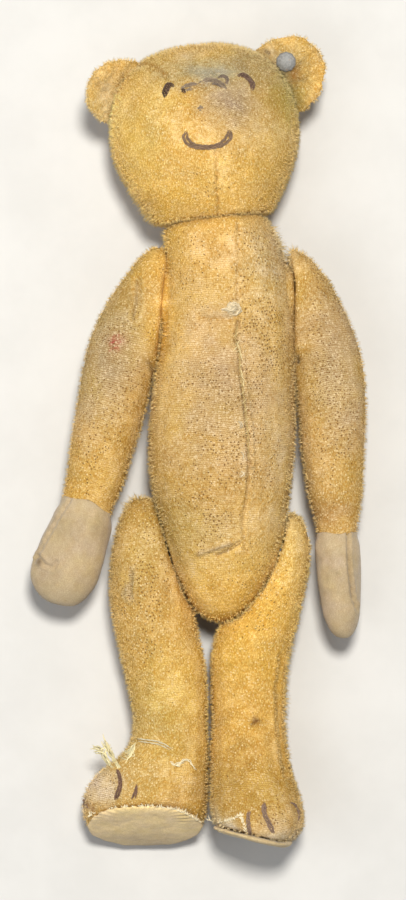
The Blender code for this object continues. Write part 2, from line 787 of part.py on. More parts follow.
def add_stud(ear, place, joint):
    """A blank domed stud through the ear, clinched behind it."""
    middle = ear_middle(STUD_ACROSS, STUD_UP)
    pivot = place @ Vector((STUD_ACROSS, STUD_UP, middle))
    slope_x = 8 * EAR_CUP * STUD_ACROSS / LEFT_EAR_WIDTH ** 2
    slope_y = 2 * EAR_CUP * STUD_UP / EAR_HEIGHT ** 2
    axis = (place.to_3x3() @ Vector((-slope_x, -slope_y, 1))).normalized()
    ear_mesh = evaluated_mesh(ear)
    seat = reach(ear_mesh, pivot, axis, STUD_RADIUS + GAP) + GAP
    back = -reach(ear_mesh, pivot, -axis, STUD_CLINCH + GAP) - GAP
    profile = (
        (0, seat + STUD_PLATE + STUD_DOME),
        (0.55 * STUD_RADIUS, seat + STUD_PLATE + 0.78 * STUD_DOME),
        (0.88 * STUD_RADIUS, seat + STUD_PLATE + 0.30 * STUD_DOME),
        (STUD_RADIUS, seat + STUD_PLATE * 0.6),
        (0.94 * STUD_RADIUS, seat),
        (STUD_SHANK, seat),
        (STUD_SHANK, back),
        (STUD_CLINCH, back),
        (STUD_CLINCH, back - STUD_PLATE),
        (0, back - 1.3 * STUD_PLATE),
    )
    stud = add_object("ear_stud", turned("ear_stud", profile, pivot, axis), joint, STEEL)
    stud.data.shade_smooth()
    stud.data.set_sharp_from_angle(angle=math.radians(40))
    hole = cylinder("stud_hole", pivot - axis * 2 * EAR_THICKNESS, axis,
                    STUD_SHANK + GAP, 4 * EAR_THICKNESS, sides=12)
    cut(ear, add_cutter("stud_hole", hole))
    return stud


# Threads
def surface_path(tree, spots, lift, steps, way=Vector((0, 0, -1))):
    """A path over a surface through spots given across and along it, seen from above."""
    knots = [Vector((across, along, 0)) for across, along in spots]
    path = []
    for spot in smooth_path(knots, steps):
        hit, normal, _, _ = tree.ray_cast(Vector((spot.x, spot.y, 0.2)), way)
        if hit is None:
            hit, normal, _, _ = tree.find_nearest(Vector((spot.x, spot.y, LEG_DEPTH)))
        path.append(hit + normal * lift)
    return path


def add_thread(name, tree, spots, radius, joint, steps=2):
    """A sewn thread that lies on the surface, with its ends turned down to it."""
    path = surface_path(tree, spots, radius + GAP, steps)
    return tube(name, path, radius, joint, THREAD_BROWN)


# Sewn lines of the face, as places across and over the middle of the neck, in millimetres.
FACE_THREADS = {
    "right_eye_stitch": ((-11.7, 37.1), (-11.1, 39.5), (-9.3, 41.2), (-7.3, 40.3)),
    "brow_stitch": ((-5.6, 38.2), (-3.9, 40.7), (-1.5, 39.8), (1.7, 41.6), (5.0, 41.6),
                    (7.3, 40.1), (8.6, 37.6)),
    "left_eye_stitch": ((11.2, 41.7), (13.3, 42.0), (15.1, 40.4), (15.8, 36.7)),
    "nose_stitch": ((-1.7, 32.2), (-0.5, 32.6), (0.7, 32.2)),
    "mouth_stitch": ((-5.6, 26.3), (-6.3, 24.3), (-5.2, 22.0), (-2.3, 20.5), (1.6, 20.1),
                     (5.2, 20.5), (7.6, 21.9), (8.3, 24.2), (7.3, 25.8)),
}

# Sewn claws on the feet, as shares of the leg's width outwards and of its length down,
# both from the middle of the hip's face.
CLAW_THREADS = {
    "right_claw_outer": ((1.04, 0.700), (0.99, 0.716), (0.93, 0.722)),
    "right_claw_middle": ((0.69, 0.608), (0.63, 0.622), (0.60, 0.651), (0.69, 0.707)),
    "right_claw_inner": ((0.40, 0.657), (0.47, 0.705)),
    "left_claw_inner": ((-0.41, 0.722), (-0.40, 0.755), (-0.39, 0.785)),
    "left_claw_middle": ((-0.22, 0.697), (-0.24, 0.723), (-0.18, 0.759), (-0.11, 0.790)),
    "left_claw_outer": ((0.09, 0.703), (0.18, 0.719), (0.23, 0.757)),
}


def build():
    """Every piece of the bear."""
    torso = add_torso()
    torso_mesh = evaluated_mesh(torso)

    # Head and its joint
    neck_axis = Matrix.Rotation(NECK_TILT, 3, "Z") @ Vector((0, 1, 0))
    neck_pivot = Vector((NECK_X, NECK_Y, NECK_Z)) + neck_axis * (3 * GAP)
    neck = new_joint("neck_joint", neck_pivot)
    head = add_head(neck)
    trim = cylinder("neck_face", neck_pivot, -neck_axis, HEAD_WIDTH, HEAD_WIDTH / 2, sides=40)
    cut(head, add_cutter("neck_face", trim))
    top = cylinder("torso_top", neck_pivot - neck_axis * GAP, neck_axis, HEAD_WIDTH,
                   HEAD_WIDTH / 2, sides=40)
    cut(torso, add_cutter("torso_top", top))
    head_mesh = evaluated_mesh(head)
    head_tree = BVHTree.FromPolygons(
        [vertex.co for vertex in head_mesh.vertices], [face.vertices for face in head_mesh.polygons])
    add_disc_joint("neck", torso, head, neck_pivot, neck_axis, NECK_DISC_RADIUS, CLOTH, neck)

    # Ears and the stud
    head_cutter = add_cutter("head_surface", swollen_copy(head_mesh, "head_surface", GAP))
    left_place = ear_matrix(
        head_point(LEFT_EAR_UP, LEFT_EAR_SIDE, EAR_LEVEL), LEFT_EAR_WAY, LEFT_EAR_FACING)
    right_place = ear_matrix(
        head_point(RIGHT_EAR_UP, -RIGHT_EAR_SIDE, EAR_LEVEL), RIGHT_EAR_WAY, RIGHT_EAR_FACING)
    left_ear = add_ear("left_ear", left_place, LEFT_EAR_WIDTH, neck, head_cutter)
    add_ear("right_ear", right_place, RIGHT_EAR_WIDTH, neck, head_cutter)
    add_stud(left_ear, left_place, neck)

    # Face threads
    for name, spots in FACE_THREADS.items():
        places = [head_point(up * MM, across * MM, 0) for across, up in spots]
        add_thread(name, head_tree, [(place.x, place.y) for place in places], THREAD_RADIUS, neck)

    # Arms
    for name, side, stations, tilt, face_reach, length, rise, pad_ring in (
            ("right", -1, RIGHT_ARM_STATIONS, RIGHT_SHOULDER_TILT, RIGHT_SHOULDER_REACH,
             RIGHT_ARM_LENGTH, RIGHT_ARM_RISE, RIGHT_PAD_RING_COUNT),
            ("left", 1, LEFT_ARM_STATIONS, LEFT_SHOULDER_TILT, LEFT_SHOULDER_REACH,
             LEFT_ARM_LENGTH, LEFT_ARM_RISE, LEFT_PAD_RING_COUNT)):
        pivot, axis = joint_face(torso_mesh, side, tilt, SHOULDER_Y, SHOULDER_Z, face_reach)
        joint = new_joint(name + "_shoulder_joint", pivot)
        arm = add_arm(name, stations, side, pivot, axis, length, rise, pad_ring, joint)
        add_paw(name, stations, side, pivot, length, rise, pad_ring, joint)
        add_disc_joint(name + "_shoulder", torso, arm, pivot, axis,
                       SHOULDER_DISC_RADIUS, SIDE_DISC_DEPTH, joint)

    # Legs
    for name, side, stations, tilt in (
            ("right", -1, RIGHT_LEG_STATIONS, RIGHT_HIP_TILT),
            ("left", 1, LEFT_LEG_STATIONS, LEFT_HIP_TILT)):
        pivot, axis = joint_face(torso_mesh, side, tilt, HIP_Y, HIP_Z, HIP_REACH)
        joint = new_joint(name + "_hip_joint", pivot)
        leg = add_leg(name, stations, side, pivot, axis, torso_mesh, joint)
        add_sole(name, stations, side, pivot, joint)
        leg_mesh = evaluated_mesh(leg)
        leg_tree = BVHTree.FromPolygons(
            [vertex.co for vertex in leg_mesh.vertices],
            [face.vertices for face in leg_mesh.polygons])
        for claw, spots in CLAW_THREADS.items():
            if claw.startswith(name):
                places = [
                    (pivot.x + side * out * LEG_WIDTH, pivot.y - down * LEG_LENGTH)
                    for out, down in spots]
                add_thread(claw, leg_tree, places, CLAW_RADIUS, joint, steps=3)
        add_disc_joint(name + "_hip", torso, leg, pivot, axis,
                       HIP_DISC_RADIUS, SIDE_DISC_DEPTH, joint)


clear_scene()
PIECES = new_collection("teddy_bear")
CUTTERS = new_collection("cutters")
ROOT = new_joint("torso_frame", Vector((0, 0, 0)))
build()
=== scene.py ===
"""Looks of the threadbare jointed teddy bear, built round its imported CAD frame."""
import json
import math

import bmesh
import bpy
import numpy as np
from mathutils import Matrix, Vector
from mathutils.bvhtree import BVHTree


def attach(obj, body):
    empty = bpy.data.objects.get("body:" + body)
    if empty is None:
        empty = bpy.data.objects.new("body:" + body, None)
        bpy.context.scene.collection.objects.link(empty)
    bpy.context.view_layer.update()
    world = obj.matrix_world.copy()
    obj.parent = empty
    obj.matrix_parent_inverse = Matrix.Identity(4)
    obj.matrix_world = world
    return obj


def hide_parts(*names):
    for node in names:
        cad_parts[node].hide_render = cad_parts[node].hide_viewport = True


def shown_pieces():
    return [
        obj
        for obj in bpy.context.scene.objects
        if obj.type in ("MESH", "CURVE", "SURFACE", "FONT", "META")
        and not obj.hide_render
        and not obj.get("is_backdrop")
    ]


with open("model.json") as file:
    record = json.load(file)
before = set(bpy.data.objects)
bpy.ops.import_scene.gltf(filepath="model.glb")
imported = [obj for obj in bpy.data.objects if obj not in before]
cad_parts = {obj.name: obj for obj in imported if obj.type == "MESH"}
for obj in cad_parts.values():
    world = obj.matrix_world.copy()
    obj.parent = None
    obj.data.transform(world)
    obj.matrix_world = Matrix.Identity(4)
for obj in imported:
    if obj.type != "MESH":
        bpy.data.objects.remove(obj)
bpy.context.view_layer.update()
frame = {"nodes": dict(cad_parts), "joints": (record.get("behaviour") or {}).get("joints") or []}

MM = 0.001
CAMERA_SPOT = Vector((-0.00586, -0.00617, 1.2))
CAMERA_LENS = 152.8
PIXELS = 3821.0  # photo pixels across a metre that is a metre from the camera
MIDDLE = (203.0, 450.0)  # the photo's middle, in pixels
PIXEL = 0.3083  # millimetres of the bear in a photo pixel
MID_HEIGHT = 0.022  # height of the bear's middle, lying down
WEAVE = 1.0 * MM  # unit of the cloth coordinates

HAIRS = 3  # hairs in a tuft
JOINT_REACH = 11.8 * MM  # within this of a joint's axis, a solid's lowest point is its joint face
PLUG_DEPTH = 5.0 * MM
CLEAR_ASIDE, CLEAR_ALONG = 9 * MM, 7 * MM  # no pile grows this near to a joint's middle
FLOOR_Z = -0.6 * MM
PALE_TIP = (0.95, 0.80, 0.48)  # faded tips of the pile

rng = np.random.default_rng(11)


# ---------------------------------------------------------------- helpers

def to_photo(co):
    """Photo places of points, as the camera sees them."""
    deep = CAMERA_SPOT.z - co[:, 2]
    px = MIDDLE[0] + (co[:, 0] - CAMERA_SPOT.x) / deep * PIXELS
    py = MIDDLE[1] - (co[:, 1] - CAMERA_SPOT.y) / deep * PIXELS
    return px, py


def from_photo(px, py, z=MID_HEIGHT):
    """The point at that height which the camera sees at a photo place."""
    deep = CAMERA_SPOT.z - z
    return Vector((CAMERA_SPOT.x + (px - MIDDLE[0]) * deep / PIXELS,
                   CAMERA_SPOT.y - (py - MIDDLE[1]) * deep / PIXELS, z))


def dice(i, j, k, seed):
    """Even random numbers from 0 to 1 for whole-number places."""
    n = (i.astype(np.int64) * 73856093) ^ (j.astype(np.int64) * 19349663)
    n = n ^ (k.astype(np.int64) * 83492791) ^ (seed * 265443576)
    n = (n ^ (n >> 13)) * 1274126177 & 0xFFFFFFFF
    n = (n ^ (n >> 15)) * 2246822519 & 0xFFFFFFFF
    return ((n ^ (n >> 16)) & 0xFFFF) / 65535.0


def fog(co, scale, seed=1):
    """Smooth noise from -1 to 1, with lumps of that size in metres. Each seed has its own."""
    p = co / scale
    base = np.floor(p)
    f = p - base
    f = f * f * (3 - 2 * f)
    total = np.zeros(len(co))
    for a in (0, 1):
        for b in (0, 1):
            for c in (0, 1):
                w = (f[:, 0] if a else 1 - f[:, 0]) * (f[:, 1] if b else 1 - f[:, 1])
                w = w * (f[:, 2] if c else 1 - f[:, 2])
                total += w * dice(base[:, 0] + a, base[:, 1] + b, base[:, 2] + c, seed)
    return total * 2 - 1


def mist(co, scale, seed=1):
    """Three layers of fog, each half as large and half as strong as the one before."""
    return sum(fog(co, scale * size, seed + i) * size for i, size in enumerate((1.0, 0.5, 0.25)))


def step(low, high, x):
    """A smooth step from 0 at low to 1 at high. With low above high it falls."""
    t = np.clip((x - low) / (high - low), 0, 1)
    return t * t * (3 - 2 * t)


def line_distance(px, py, points):
    """Distance in photo pixels from a bent line, and how far along it the nearest place is."""
    best = np.full(len(px), 1e9)
    along = np.zeros(len(px))
    run = 0.0
    for (ax, ay), (bx, by) in zip(points, points[1:]):
        dx, dy = bx - ax, by - ay
        length = math.hypot(dx, dy)
        t = np.clip(((px - ax) * dx + (py - ay) * dy) / length ** 2, 0, 1)
        gap = np.hypot(px - ax - t * dx, py - ay - t * dy)
        near = gap < best
        best = np.where(near, gap, best)
        along = np.where(near, run + t * length, along)
        run += length
    return best, along


def points_of(mesh):
    co = np.empty(len(mesh.vertices) * 3)
    mesh.vertices.foreach_get("co", co)
    return co.reshape(-1, 3)


def normals_of(mesh):
    n = np.empty(len(mesh.vertices) * 3)
    mesh.vertex_normals.foreach_get("vector", n)
    return n.reshape(-1, 3)


def set_points(mesh, co):
    mesh.vertices.foreach_set("co", co.astype(np.float32).ravel())
    mesh.update()


def put(mesh, name, values, kind="FLOAT"):
    layer = mesh.attributes.get(name) or mesh.attributes.new(name, kind, "POINT")
    field = {"FLOAT": "value", "FLOAT_VECTOR": "vector", "FLOAT_COLOR": "color"}[kind]
    layer.data.foreach_set(field, np.asarray(values, np.float32).ravel())


def get(mesh, name, width=1):
    layer = mesh.attributes[name]
    field = {1: "value", 4: "color"}[width]
    values = np.empty(len(mesh.vertices) * width, np.float32)
    layer.data.foreach_get(field, values)
    return values if width == 1 else values.reshape(-1, width)


# ---------------------------------------------------------------- materials

class Shader:
    """A new material, with short calls for the nodes that it is made of."""

    def __init__(self, name):
        self.material = bpy.data.materials.new(name)
        self.material.use_nodes = True
        self.tree = self.material.node_tree
        self.surface = next(n for n in self.tree.nodes if n.type == "BSDF_PRINCIPLED")

    def fill(self, socket, value):
        if isinstance(value, bpy.types.NodeSocket):
            self.tree.links.new(value, socket)
        else:
            socket.default_value = value

    def node(self, kind, inputs=(), out=0, **settings):
        """A new node's output, or all of them. Inputs are pairs of a socket and its value."""
        made = self.tree.nodes.new("ShaderNode" + kind)
        for key, value in settings.items():
            setattr(made, key, value)
        for socket, value in inputs:
            self.fill(made.inputs[socket], value)
        return made.outputs if out is None else made.outputs[out]

    def maths(self, operation, *values):
        return self.node("Math", enumerate(values), operation=operation)

    def add(self, total, *others):
        for other in others:
            total = self.maths("ADD", total, other)
        return total

    def sub(self, a, b):
        return self.maths("SUBTRACT", a, b)

    def mul(self, a, b):
        return self.maths("MULTIPLY", a, b)

    def ramp(self, *values):
        """A smooth step: the value, its low and high end, and what they become."""
        return self.node("MapRange", enumerate(values), interpolation_type="SMOOTHSTEP")

    def mix(self, share, a, b, blend="MIX"):
        a, b = (v if isinstance(v, bpy.types.NodeSocket) else (*v, 1.0) for v in (a, b))
        return self.node("Mix", ((0, share), (6, a), (7, b)), 2, data_type="RGBA", blend_type=blend)

    def times(self, share, a, b):
        return self.mix(share, a, b, "MULTIPLY")

    def attribute(self, name, out="Fac"):
        return self.node("Attribute", out=out, attribute_name=name)

    def spot(self):
        return self.node("TexCoord", out="Object")

    def turned(self, spot, turn, squeeze):
        """Places turned about Z, with texture drawn out along Y."""
        return self.node("Mapping", (("Vector", spot), ("Rotation", (0, 0, turn)),
                                     ("Scale", (1.0, squeeze, 1.0))), "Vector")

    def noise(self, scale, detail=2.0, rough=0.5, spot=None):
        return self.node("TexNoise", (("Vector", spot or self.spot()), ("Scale", scale),
                                      ("Detail", detail), ("Roughness", rough)), "Fac")

    def finish(self, colour, rough, gloss=None, height=None, distance=0.0001, strength=0.5):
        """Sets the surface and its bump, and returns the material."""
        for name, value in (("Base Color", colour), ("Roughness", rough),
                            ("Specular IOR Level", gloss)):
            if value is not None:
                self.fill(self.surface.inputs[name], value)
        if height is not None:
            inputs = ("Height", height), ("Distance", distance), ("Strength", strength)
            self.fill(self.surface.inputs["Normal"], self.node("Bump", inputs, "Normal"))
        return self.material


def mohair_material():
    """Worn mohair cloth: a beaded woven backing with rows of empty pile holes, and stubble, with
    painted shade in its hollows and painted highlights on its ribs, beads and curls.
    """
    s = Shader("worn_mohair")
    weave = s.node("SeparateXYZ", ((0, s.attribute("weave", "Vector")),), None)
    tint, bald = s.attribute("tint", "Color"), s.attribute("bald")

    def wander(scale, size):
        return s.mul(s.sub(s.noise(scale, 2), 0.5), size)

    u = s.add(weave[0], wander(170, 2.2), wander(1100, 0.35))
    v = s.add(weave[1], wander(190, 2.0), wander(1000, 0.30))

    def lattice(pitch):
        """Column and row in a brick pattern."""
        row = s.maths("DIVIDE", v, pitch)
        odd = s.mul(s.maths("FLOORED_MODULO", s.maths("FLOOR", row), 2.0), 0.5)
        return s.add(s.maths("DIVIDE", u, pitch), odd), row

    def arch(place):
        return s.maths("SINE", s.mul(s.maths("FRACT", place), math.pi))

    column, row = lattice(0.62)
    rib = arch(row)
    bead = s.mul(arch(column), rib)

    # The pile holes: each cell has a hole by its own chance, off its middle and of its own size.
    column, row = lattice(1.12)
    cell = s.node("CombineXYZ", ((0, s.maths("FLOOR", column)), (1, s.maths("FLOOR", row))))
    chance = s.node("TexWhiteNoise", (("Vector", cell),), None, noise_dimensions="3D")
    aside = s.node("SeparateColor", ((0, chance["Color"]),), None)

    def from_middle(place, share):
        return s.sub(s.sub(s.maths("FRACT", place), 0.225), s.mul(share, 0.55))

    off_a, off_b = from_middle(column, aside[1]), from_middle(row, aside[2])
    reach = s.maths("SQRT", s.add(s.mul(off_a, off_a), s.mul(off_b, off_b)))
    patchy = s.ramp(s.noise(110, 3, 0.6), 0.34, 0.62, 0.25, 1.0)
    bare = s.mul(patchy, s.attribute("bare"))
    there = s.ramp(s.sub(bare, chance["Value"]), -0.04, 0.35)
    size = s.add(0.17, s.mul(aside[0], 0.14))
    hole = s.mul(there, s.ramp(reach, s.mul(size, 0.45), s.add(size, 0.08), 1.0, 0.0))

    def pebbles(scale, low, high):
        """Height and tone of small round cells."""
        cells = s.node("TexVoronoi", (("Scale", scale), ("Vector", s.spot())), None)
        tone = s.node("SeparateColor", ((0, cells["Color"]),))
        return s.ramp(cells["Distance"], low, high, 1.0, 0.0), tone

    def streaks(turn):
        return s.noise(3.2, 2, 0.6, s.turned(s.attribute("weave", "Vector"), turn, 0.30))

    curl, tip = pebbles(1450, 0.10, 0.62)
    knot, knot_tone = pebbles(2100, 0.15, 0.70)
    fibre = s.noise(5200, 3, 0.7)
    # Painted light and shade: a shaded copy of the tint for the hollows of the weave and the gaps
    # between curls, and a lit, paler copy for the raised ribs, beads and curls.
    deep = s.times(1.0, tint, (0.66, 0.54, 0.42))
    lit_tint = s.times(1.0, tint, (1.22, 1.27, 1.46))
    ribbed = s.add(s.mul(s.ramp(rib, 0.25, 0.85), 0.65), s.mul(bead, 0.35))
    backing = s.mix(s.add(s.mul(ribbed, 0.60), s.mul(knot, 0.40)), deep, lit_tint)
    backing = s.mix(s.ramp(knot_tone, 0.72, 0.95, 0.0, 0.45), backing, (0.86, 0.70, 0.45))
    stroke = s.ramp(s.maths("MAXIMUM", streaks(0.55), streaks(-0.75)), 0.50, 0.66)
    fluff = s.add(s.mul(stroke, 0.60), s.mul(curl, 0.40))
    stubble = s.mix(fluff, s.times(1.0, tint, (0.68, 0.51, 0.28)), lit_tint)
    # Painted highlight: cream glints on the tips of the curls.
    glint = s.mul(s.ramp(tip, 0.62, 0.95, 0.0, 0.65), curl)
    stubble = s.mix(glint, stubble, (0.98, 0.82, 0.50))
    cover = s.ramp(s.add(bald, wander(900, 0.9)), 0.25, 0.75)
    colour = s.mix(cover, stubble, backing)
    colour = s.times(s.ramp(fibre, 0.30, 0.60, 0.38, 0.0), colour, (0.52, 0.40, 0.26))
    colour = s.mix(hole, colour, (0.26, 0.13, 0.038))
    uneven = s.add(s.mul(s.mul(bead, cover), 0.6), s.mul(s.sub(1.0, cover), fluff))
    height = s.add(s.mul(hole, -1.2), s.mul(fibre, 0.5), uneven)
    return s.finish(colour, 0.9, 0.15, height, 0.00030, 0.9)


def felt_material():
    """Soiled wool felt: pressed short fibres, no weave."""
    s = Shader("worn_felt")
    fibre, cloud = s.noise(3300, 4, 0.75), s.noise(420, 3, 0.6)
    brushed = s.noise(2600, 3, 0.7, s.turned(s.spot(), 0.6, 0.32))
    colour = s.attribute("tint", "Color")
    colour = s.times(s.ramp(fibre, 0.34, 0.62, 0.45, 0.0), colour, (0.55, 0.46, 0.36))
    colour = s.times(s.ramp(brushed, 0.50, 0.70, 0.0, 0.55), colour, (1.35, 1.38, 1.50))
    colour = s.times(s.ramp(cloud, 0.40, 0.70, 0.0, 0.30), colour, (0.86, 0.76, 0.60))
    s.fill(s.surface.inputs["Sheen Weight"], 0.2)
    return s.finish(colour, 0.95, 0.15, s.add(fibre, s.mul(cloud, 0.8)), 0.00018, 0.7)


def hair_material():
    """Pile hair, each with its own tone."""
    s = Shader("mohair_pile")
    streak = s.ramp(s.noise(2600, 2, 0.6), 0.35, 0.65, 0.0, 0.35)
    return s.finish(s.times(streak, s.attribute("tint", "Color"), (0.80, 0.62, 0.36)), 0.65, 0.3)


def floss_material():
    """Worn sewing floss: each strand has its own tone, faded in streaks and dusty on top."""
    s = Shader("faded_floss")
    fine = s.noise(6000, 2, 0.7)
    streak = s.ramp(s.noise(1500, 3, 0.65), 0.40, 0.75, 0.0, 0.45)
    colour = s.mix(streak, s.attribute("tint", "Color"), (0.33, 0.245, 0.16))
    colour = s.times(s.ramp(fine, 0.3, 0.6, 0.6, 0.0), colour, (0.4, 0.33, 0.26))
    return s.finish(colour, 0.8, 0.25, fine, strength=0.6)


def pale_thread_material():
    """Raw undyed sewing thread."""
    s = Shader("pale_thread")
    fine = s.noise(5200, 3, 0.7)
    dusty = s.ramp(fine, 0.3, 0.62, 0.5, 0.0)
    colour = s.times(dusty, s.attribute("tint", "Color"), (0.62, 0.50, 0.32))
    return s.finish(colour, 0.85, 0.2, fine, strength=0.6)


def stud_material():
    """Dull grey blank metal, oxidised and scratched, with specks of rust."""
    s = Shader("stud_steel")
    scratch = s.noise(1900, 4, 0.8)
    metal = s.mix(s.ramp(scratch, 0.35, 0.65), (0.19, 0.19, 0.185), (0.30, 0.30, 0.29))
    rust = s.ramp(s.noise(900, 4, 0.7), 0.60, 0.72, 0.0, 0.7)
    s.fill(s.surface.inputs["Metallic"], s.ramp(rust, 0.0, 1.0, 0.35, 0.05))
    rough = s.ramp(scratch, 0.3, 0.7, 0.55, 0.75)
    return s.finish(s.mix(rust, metal, (0.24, 0.13, 0.06)), rough, height=scratch)


def plain_material(name, low, high, scale, metallic, rough):
    s = Shader(name)
    grain = s.noise(scale, 4, 0.7)
    s.fill(s.surface.inputs["Metallic"], metallic)
    colour = s.mix(s.ramp(grain, 0.3, 0.7), low, high)
    return s.finish(colour, s.ramp(grain, 0.3, 0.7, rough - 0.1, rough + 0.1), height=grain)


MOHAIR = mohair_material()
FELT = felt_material()
HAIR = hair_material()
FLOSS = floss_material()
PALE_THREAD = pale_thread_material()
STUD = stud_material()
STEEL = plain_material("pin_steel", (0.25, 0.24, 0.23), (0.45, 0.44, 0.42), 2500, 0.9, 0.45)
CARD = plain_material("disc_card", (0.30, 0.21, 0.12), (0.46, 0.35, 0.22), 1800, 0.0, 0.9)


# ---------------------------------------------------------------- cloth skins

JOINTS = {}
for row in frame["joints"]:
    JOINTS[row["name"]] = (Vector(row["pos_m"]), Vector(row["axis"]).normalized())


def plug(bm, centre, axis, radius, low, high):
    """A closed rod that fills a joint's hollow."""
    turn = Vector((0, 0, 1)).rotation_difference(axis).to_matrix().to_4x4()
    place = Matrix.Translation(centre + axis * (low + high) / 2) @ turn
    bmesh.ops.create_cone(bm, cap_ends=True, segments=24, radius1=radius, radius2=radius,
                          depth=high - low, matrix=place)


def joint_plugs(bm, node, joint):
    """Fills the hollow that a node has for its disc, up to its joint face."""
    centre, axis = JOINTS[joint]
    co = points_of(frame["nodes"][node].data) - np.array(centre)
    if (co @ np.array(axis)).mean() < 0:
        axis = -axis
    depth = co @ np.array(axis)
    aside = np.linalg.norm(co - np.outer(depth, np.array(axis)), axis=1)
    face = depth[aside < JOINT_REACH].min()
    disc = joint + ("_body_disc" if node == "torso" else "_limb_disc")
    size = frame["nodes"][disc].data
    span = points_of(size) - np.array(centre)
    radius = np.linalg.norm(span - np.outer(span @ np.array(axis), np.array(axis)), axis=1).max()
    plug(bm, centre, axis, radius + 0.5 * MM, face, face + PLUG_DEPTH)


def skin_mesh(name, nodes, joints, voxel, rounds):
    """A closed, evenly faced skin from CAD nodes."""
    bm = bmesh.new()
    for node in nodes:
        bm.from_mesh(frame["nodes"][node].data)
    for joint in joints:
        joint_plugs(bm, nodes[0], joint)
    mesh = bpy.data.meshes.new(name)
    bm.to_mesh(mesh)
    bm.free()
    mesh.materials.clear()
    raw = bpy.data.objects.new(name + "_raw", mesh)
    bpy.context.scene.collection.objects.link(raw)
    remesh = raw.modifiers.new("even", "REMESH")
    remesh.mode = "VOXEL"
    remesh.voxel_size = voxel
    remesh.use_smooth_shade = True
    soften = raw.modifiers.new("soften", "SMOOTH")
    soften.factor = 0.5
    soften.iterations = rounds
    view = bpy.context.evaluated_depsgraph_get()
    made = bpy.data.meshes.new_from_object(raw.evaluated_get(view))
    made.name = name
    bpy.data.objects.remove(raw)
    bpy.data.meshes.remove(mesh)
    parts = bmesh.new()
    parts.from_mesh(made)
    drop_islands(parts)
    parts.to_mesh(made)
    parts.free()
    made.shade_smooth()
    return made


def drop_islands(bm):
    """Keeps only the largest connected shell."""
    left = set(bm.verts)
    shells = []
    while left:
        seed = left.pop()
        shell, edge = {seed}, [seed]
        while edge:
            vert = edge.pop()
            for link in vert.link_edges:
                other = link.other_vert(vert)
                if other in left:
                    left.discard(other)
                    shell.add(other)
                    edge.append(other)
        shells.append(shell)
    shells.sort(key=len)
    for shell in shells[:-1]:
        bmesh.ops.delete(bm, geom=list(shell), context="VERTS")


def weave_places(co, start, end):
    """Cloth coordinates in metres, round the piece and along it, from its true arc lengths.

    start and end are the ends of its middle line. The coordinate jumps at the back.
    """
    start, end = np.array(start), np.array(end)
    line = (end - start) / np.linalg.norm(end - start)
    front = np.array((0.0, 0.0, 1.0)) - line[2] * line
    front /= np.linalg.norm(front)
    t, a, b = ((co - start) @ way for way in (line, np.cross(line, front), front))
    rows, columns = 60, 48
    low, high = t.min(), t.max()
    bins = np.clip(((t - low) / (high - low) * rows).astype(int), 0, rows - 1)
    centre = np.zeros((rows, 2))
    for i in range(rows):
        inside = bins == i
        if inside.any():
            centre[i] = [(v[inside].max() + v[inside].min()) / 2 for v in (a, b)]
        elif i:
            centre[i] = centre[i - 1]
    kernel = np.array((1, 2, 3, 2, 1)) / 9
    for _ in range(3):
        padded = np.pad(centre, ((2, 2), (0, 0)), mode="edge")
        centre = sum(w * padded[i:i + rows] for i, w in enumerate(kernel))
    place = np.clip((t - low) / (high - low) * rows - 0.5, 0, rows - 1.001)
    i0 = place.astype(int)
    i1 = np.minimum(i0 + 1, rows - 1)
    f = place - i0
    middle = centre[i0] * (1 - f)[:, None] + centre[i1] * f[:, None]
    da, db = a - middle[:, 0], b - middle[:, 1]
    turn = 2 * math.pi / columns
    x = (np.arctan2(da, db) - math.pi) % (2 * math.pi) / turn
    j0 = np.clip(x.astype(int), 0, columns - 1)
    j1 = np.minimum(j0 + 1, columns - 1)
    g = x - j0

    # The mean distance from the middle line in each cell, with empty cells filled from round them.
    grid, count = np.zeros((rows, columns)), np.zeros((rows, columns))
    np.add.at(grid, (bins, j0), np.hypot(da, db))
    np.add.at(count, (bins, j0), 1)
    mean = grid.sum() / count.sum()
    grid = np.where(count > 0, grid / np.maximum(count, 1), np.nan)
    for _ in range(12):
        if not np.isnan(grid).any():
            break
        around = np.stack([np.roll(grid, 1, 1), np.roll(grid, -1, 1),
                           np.vstack([grid[:1], grid[:-1]]), np.vstack([grid[1:], grid[-1:]])])
        grid = np.where(np.isnan(grid), np.nanmean(around, axis=0), grid)
    grid = np.where(np.isnan(grid), mean, grid)

    step_u = np.hypot(grid * turn, np.roll(grid, -1, 1) - grid)
    across = np.cumsum(step_u, axis=1) - step_u
    across -= across[:, columns // 2][:, None]
    step_v = np.hypot((high - low) / rows, np.diff(grid, axis=0, append=grid[-1:]))
    step_v = (step_v + np.roll(step_v, 1, 1) + np.roll(step_v, -1, 1)) / 3
    down = np.cumsum(step_v, axis=0) - step_v
    last = np.where(j0 + 1 > columns - 1, 1.0, 0.0)

    def read(table, edge):
        near, far = (table[i, j0] * (1 - g) + (table[i, j1] + last * edge[i]) * g for i in (i0, i1))
        return near * (1 - f) + far * f

    return read(across, step_u[:, -1]), read(down, np.zeros(rows))


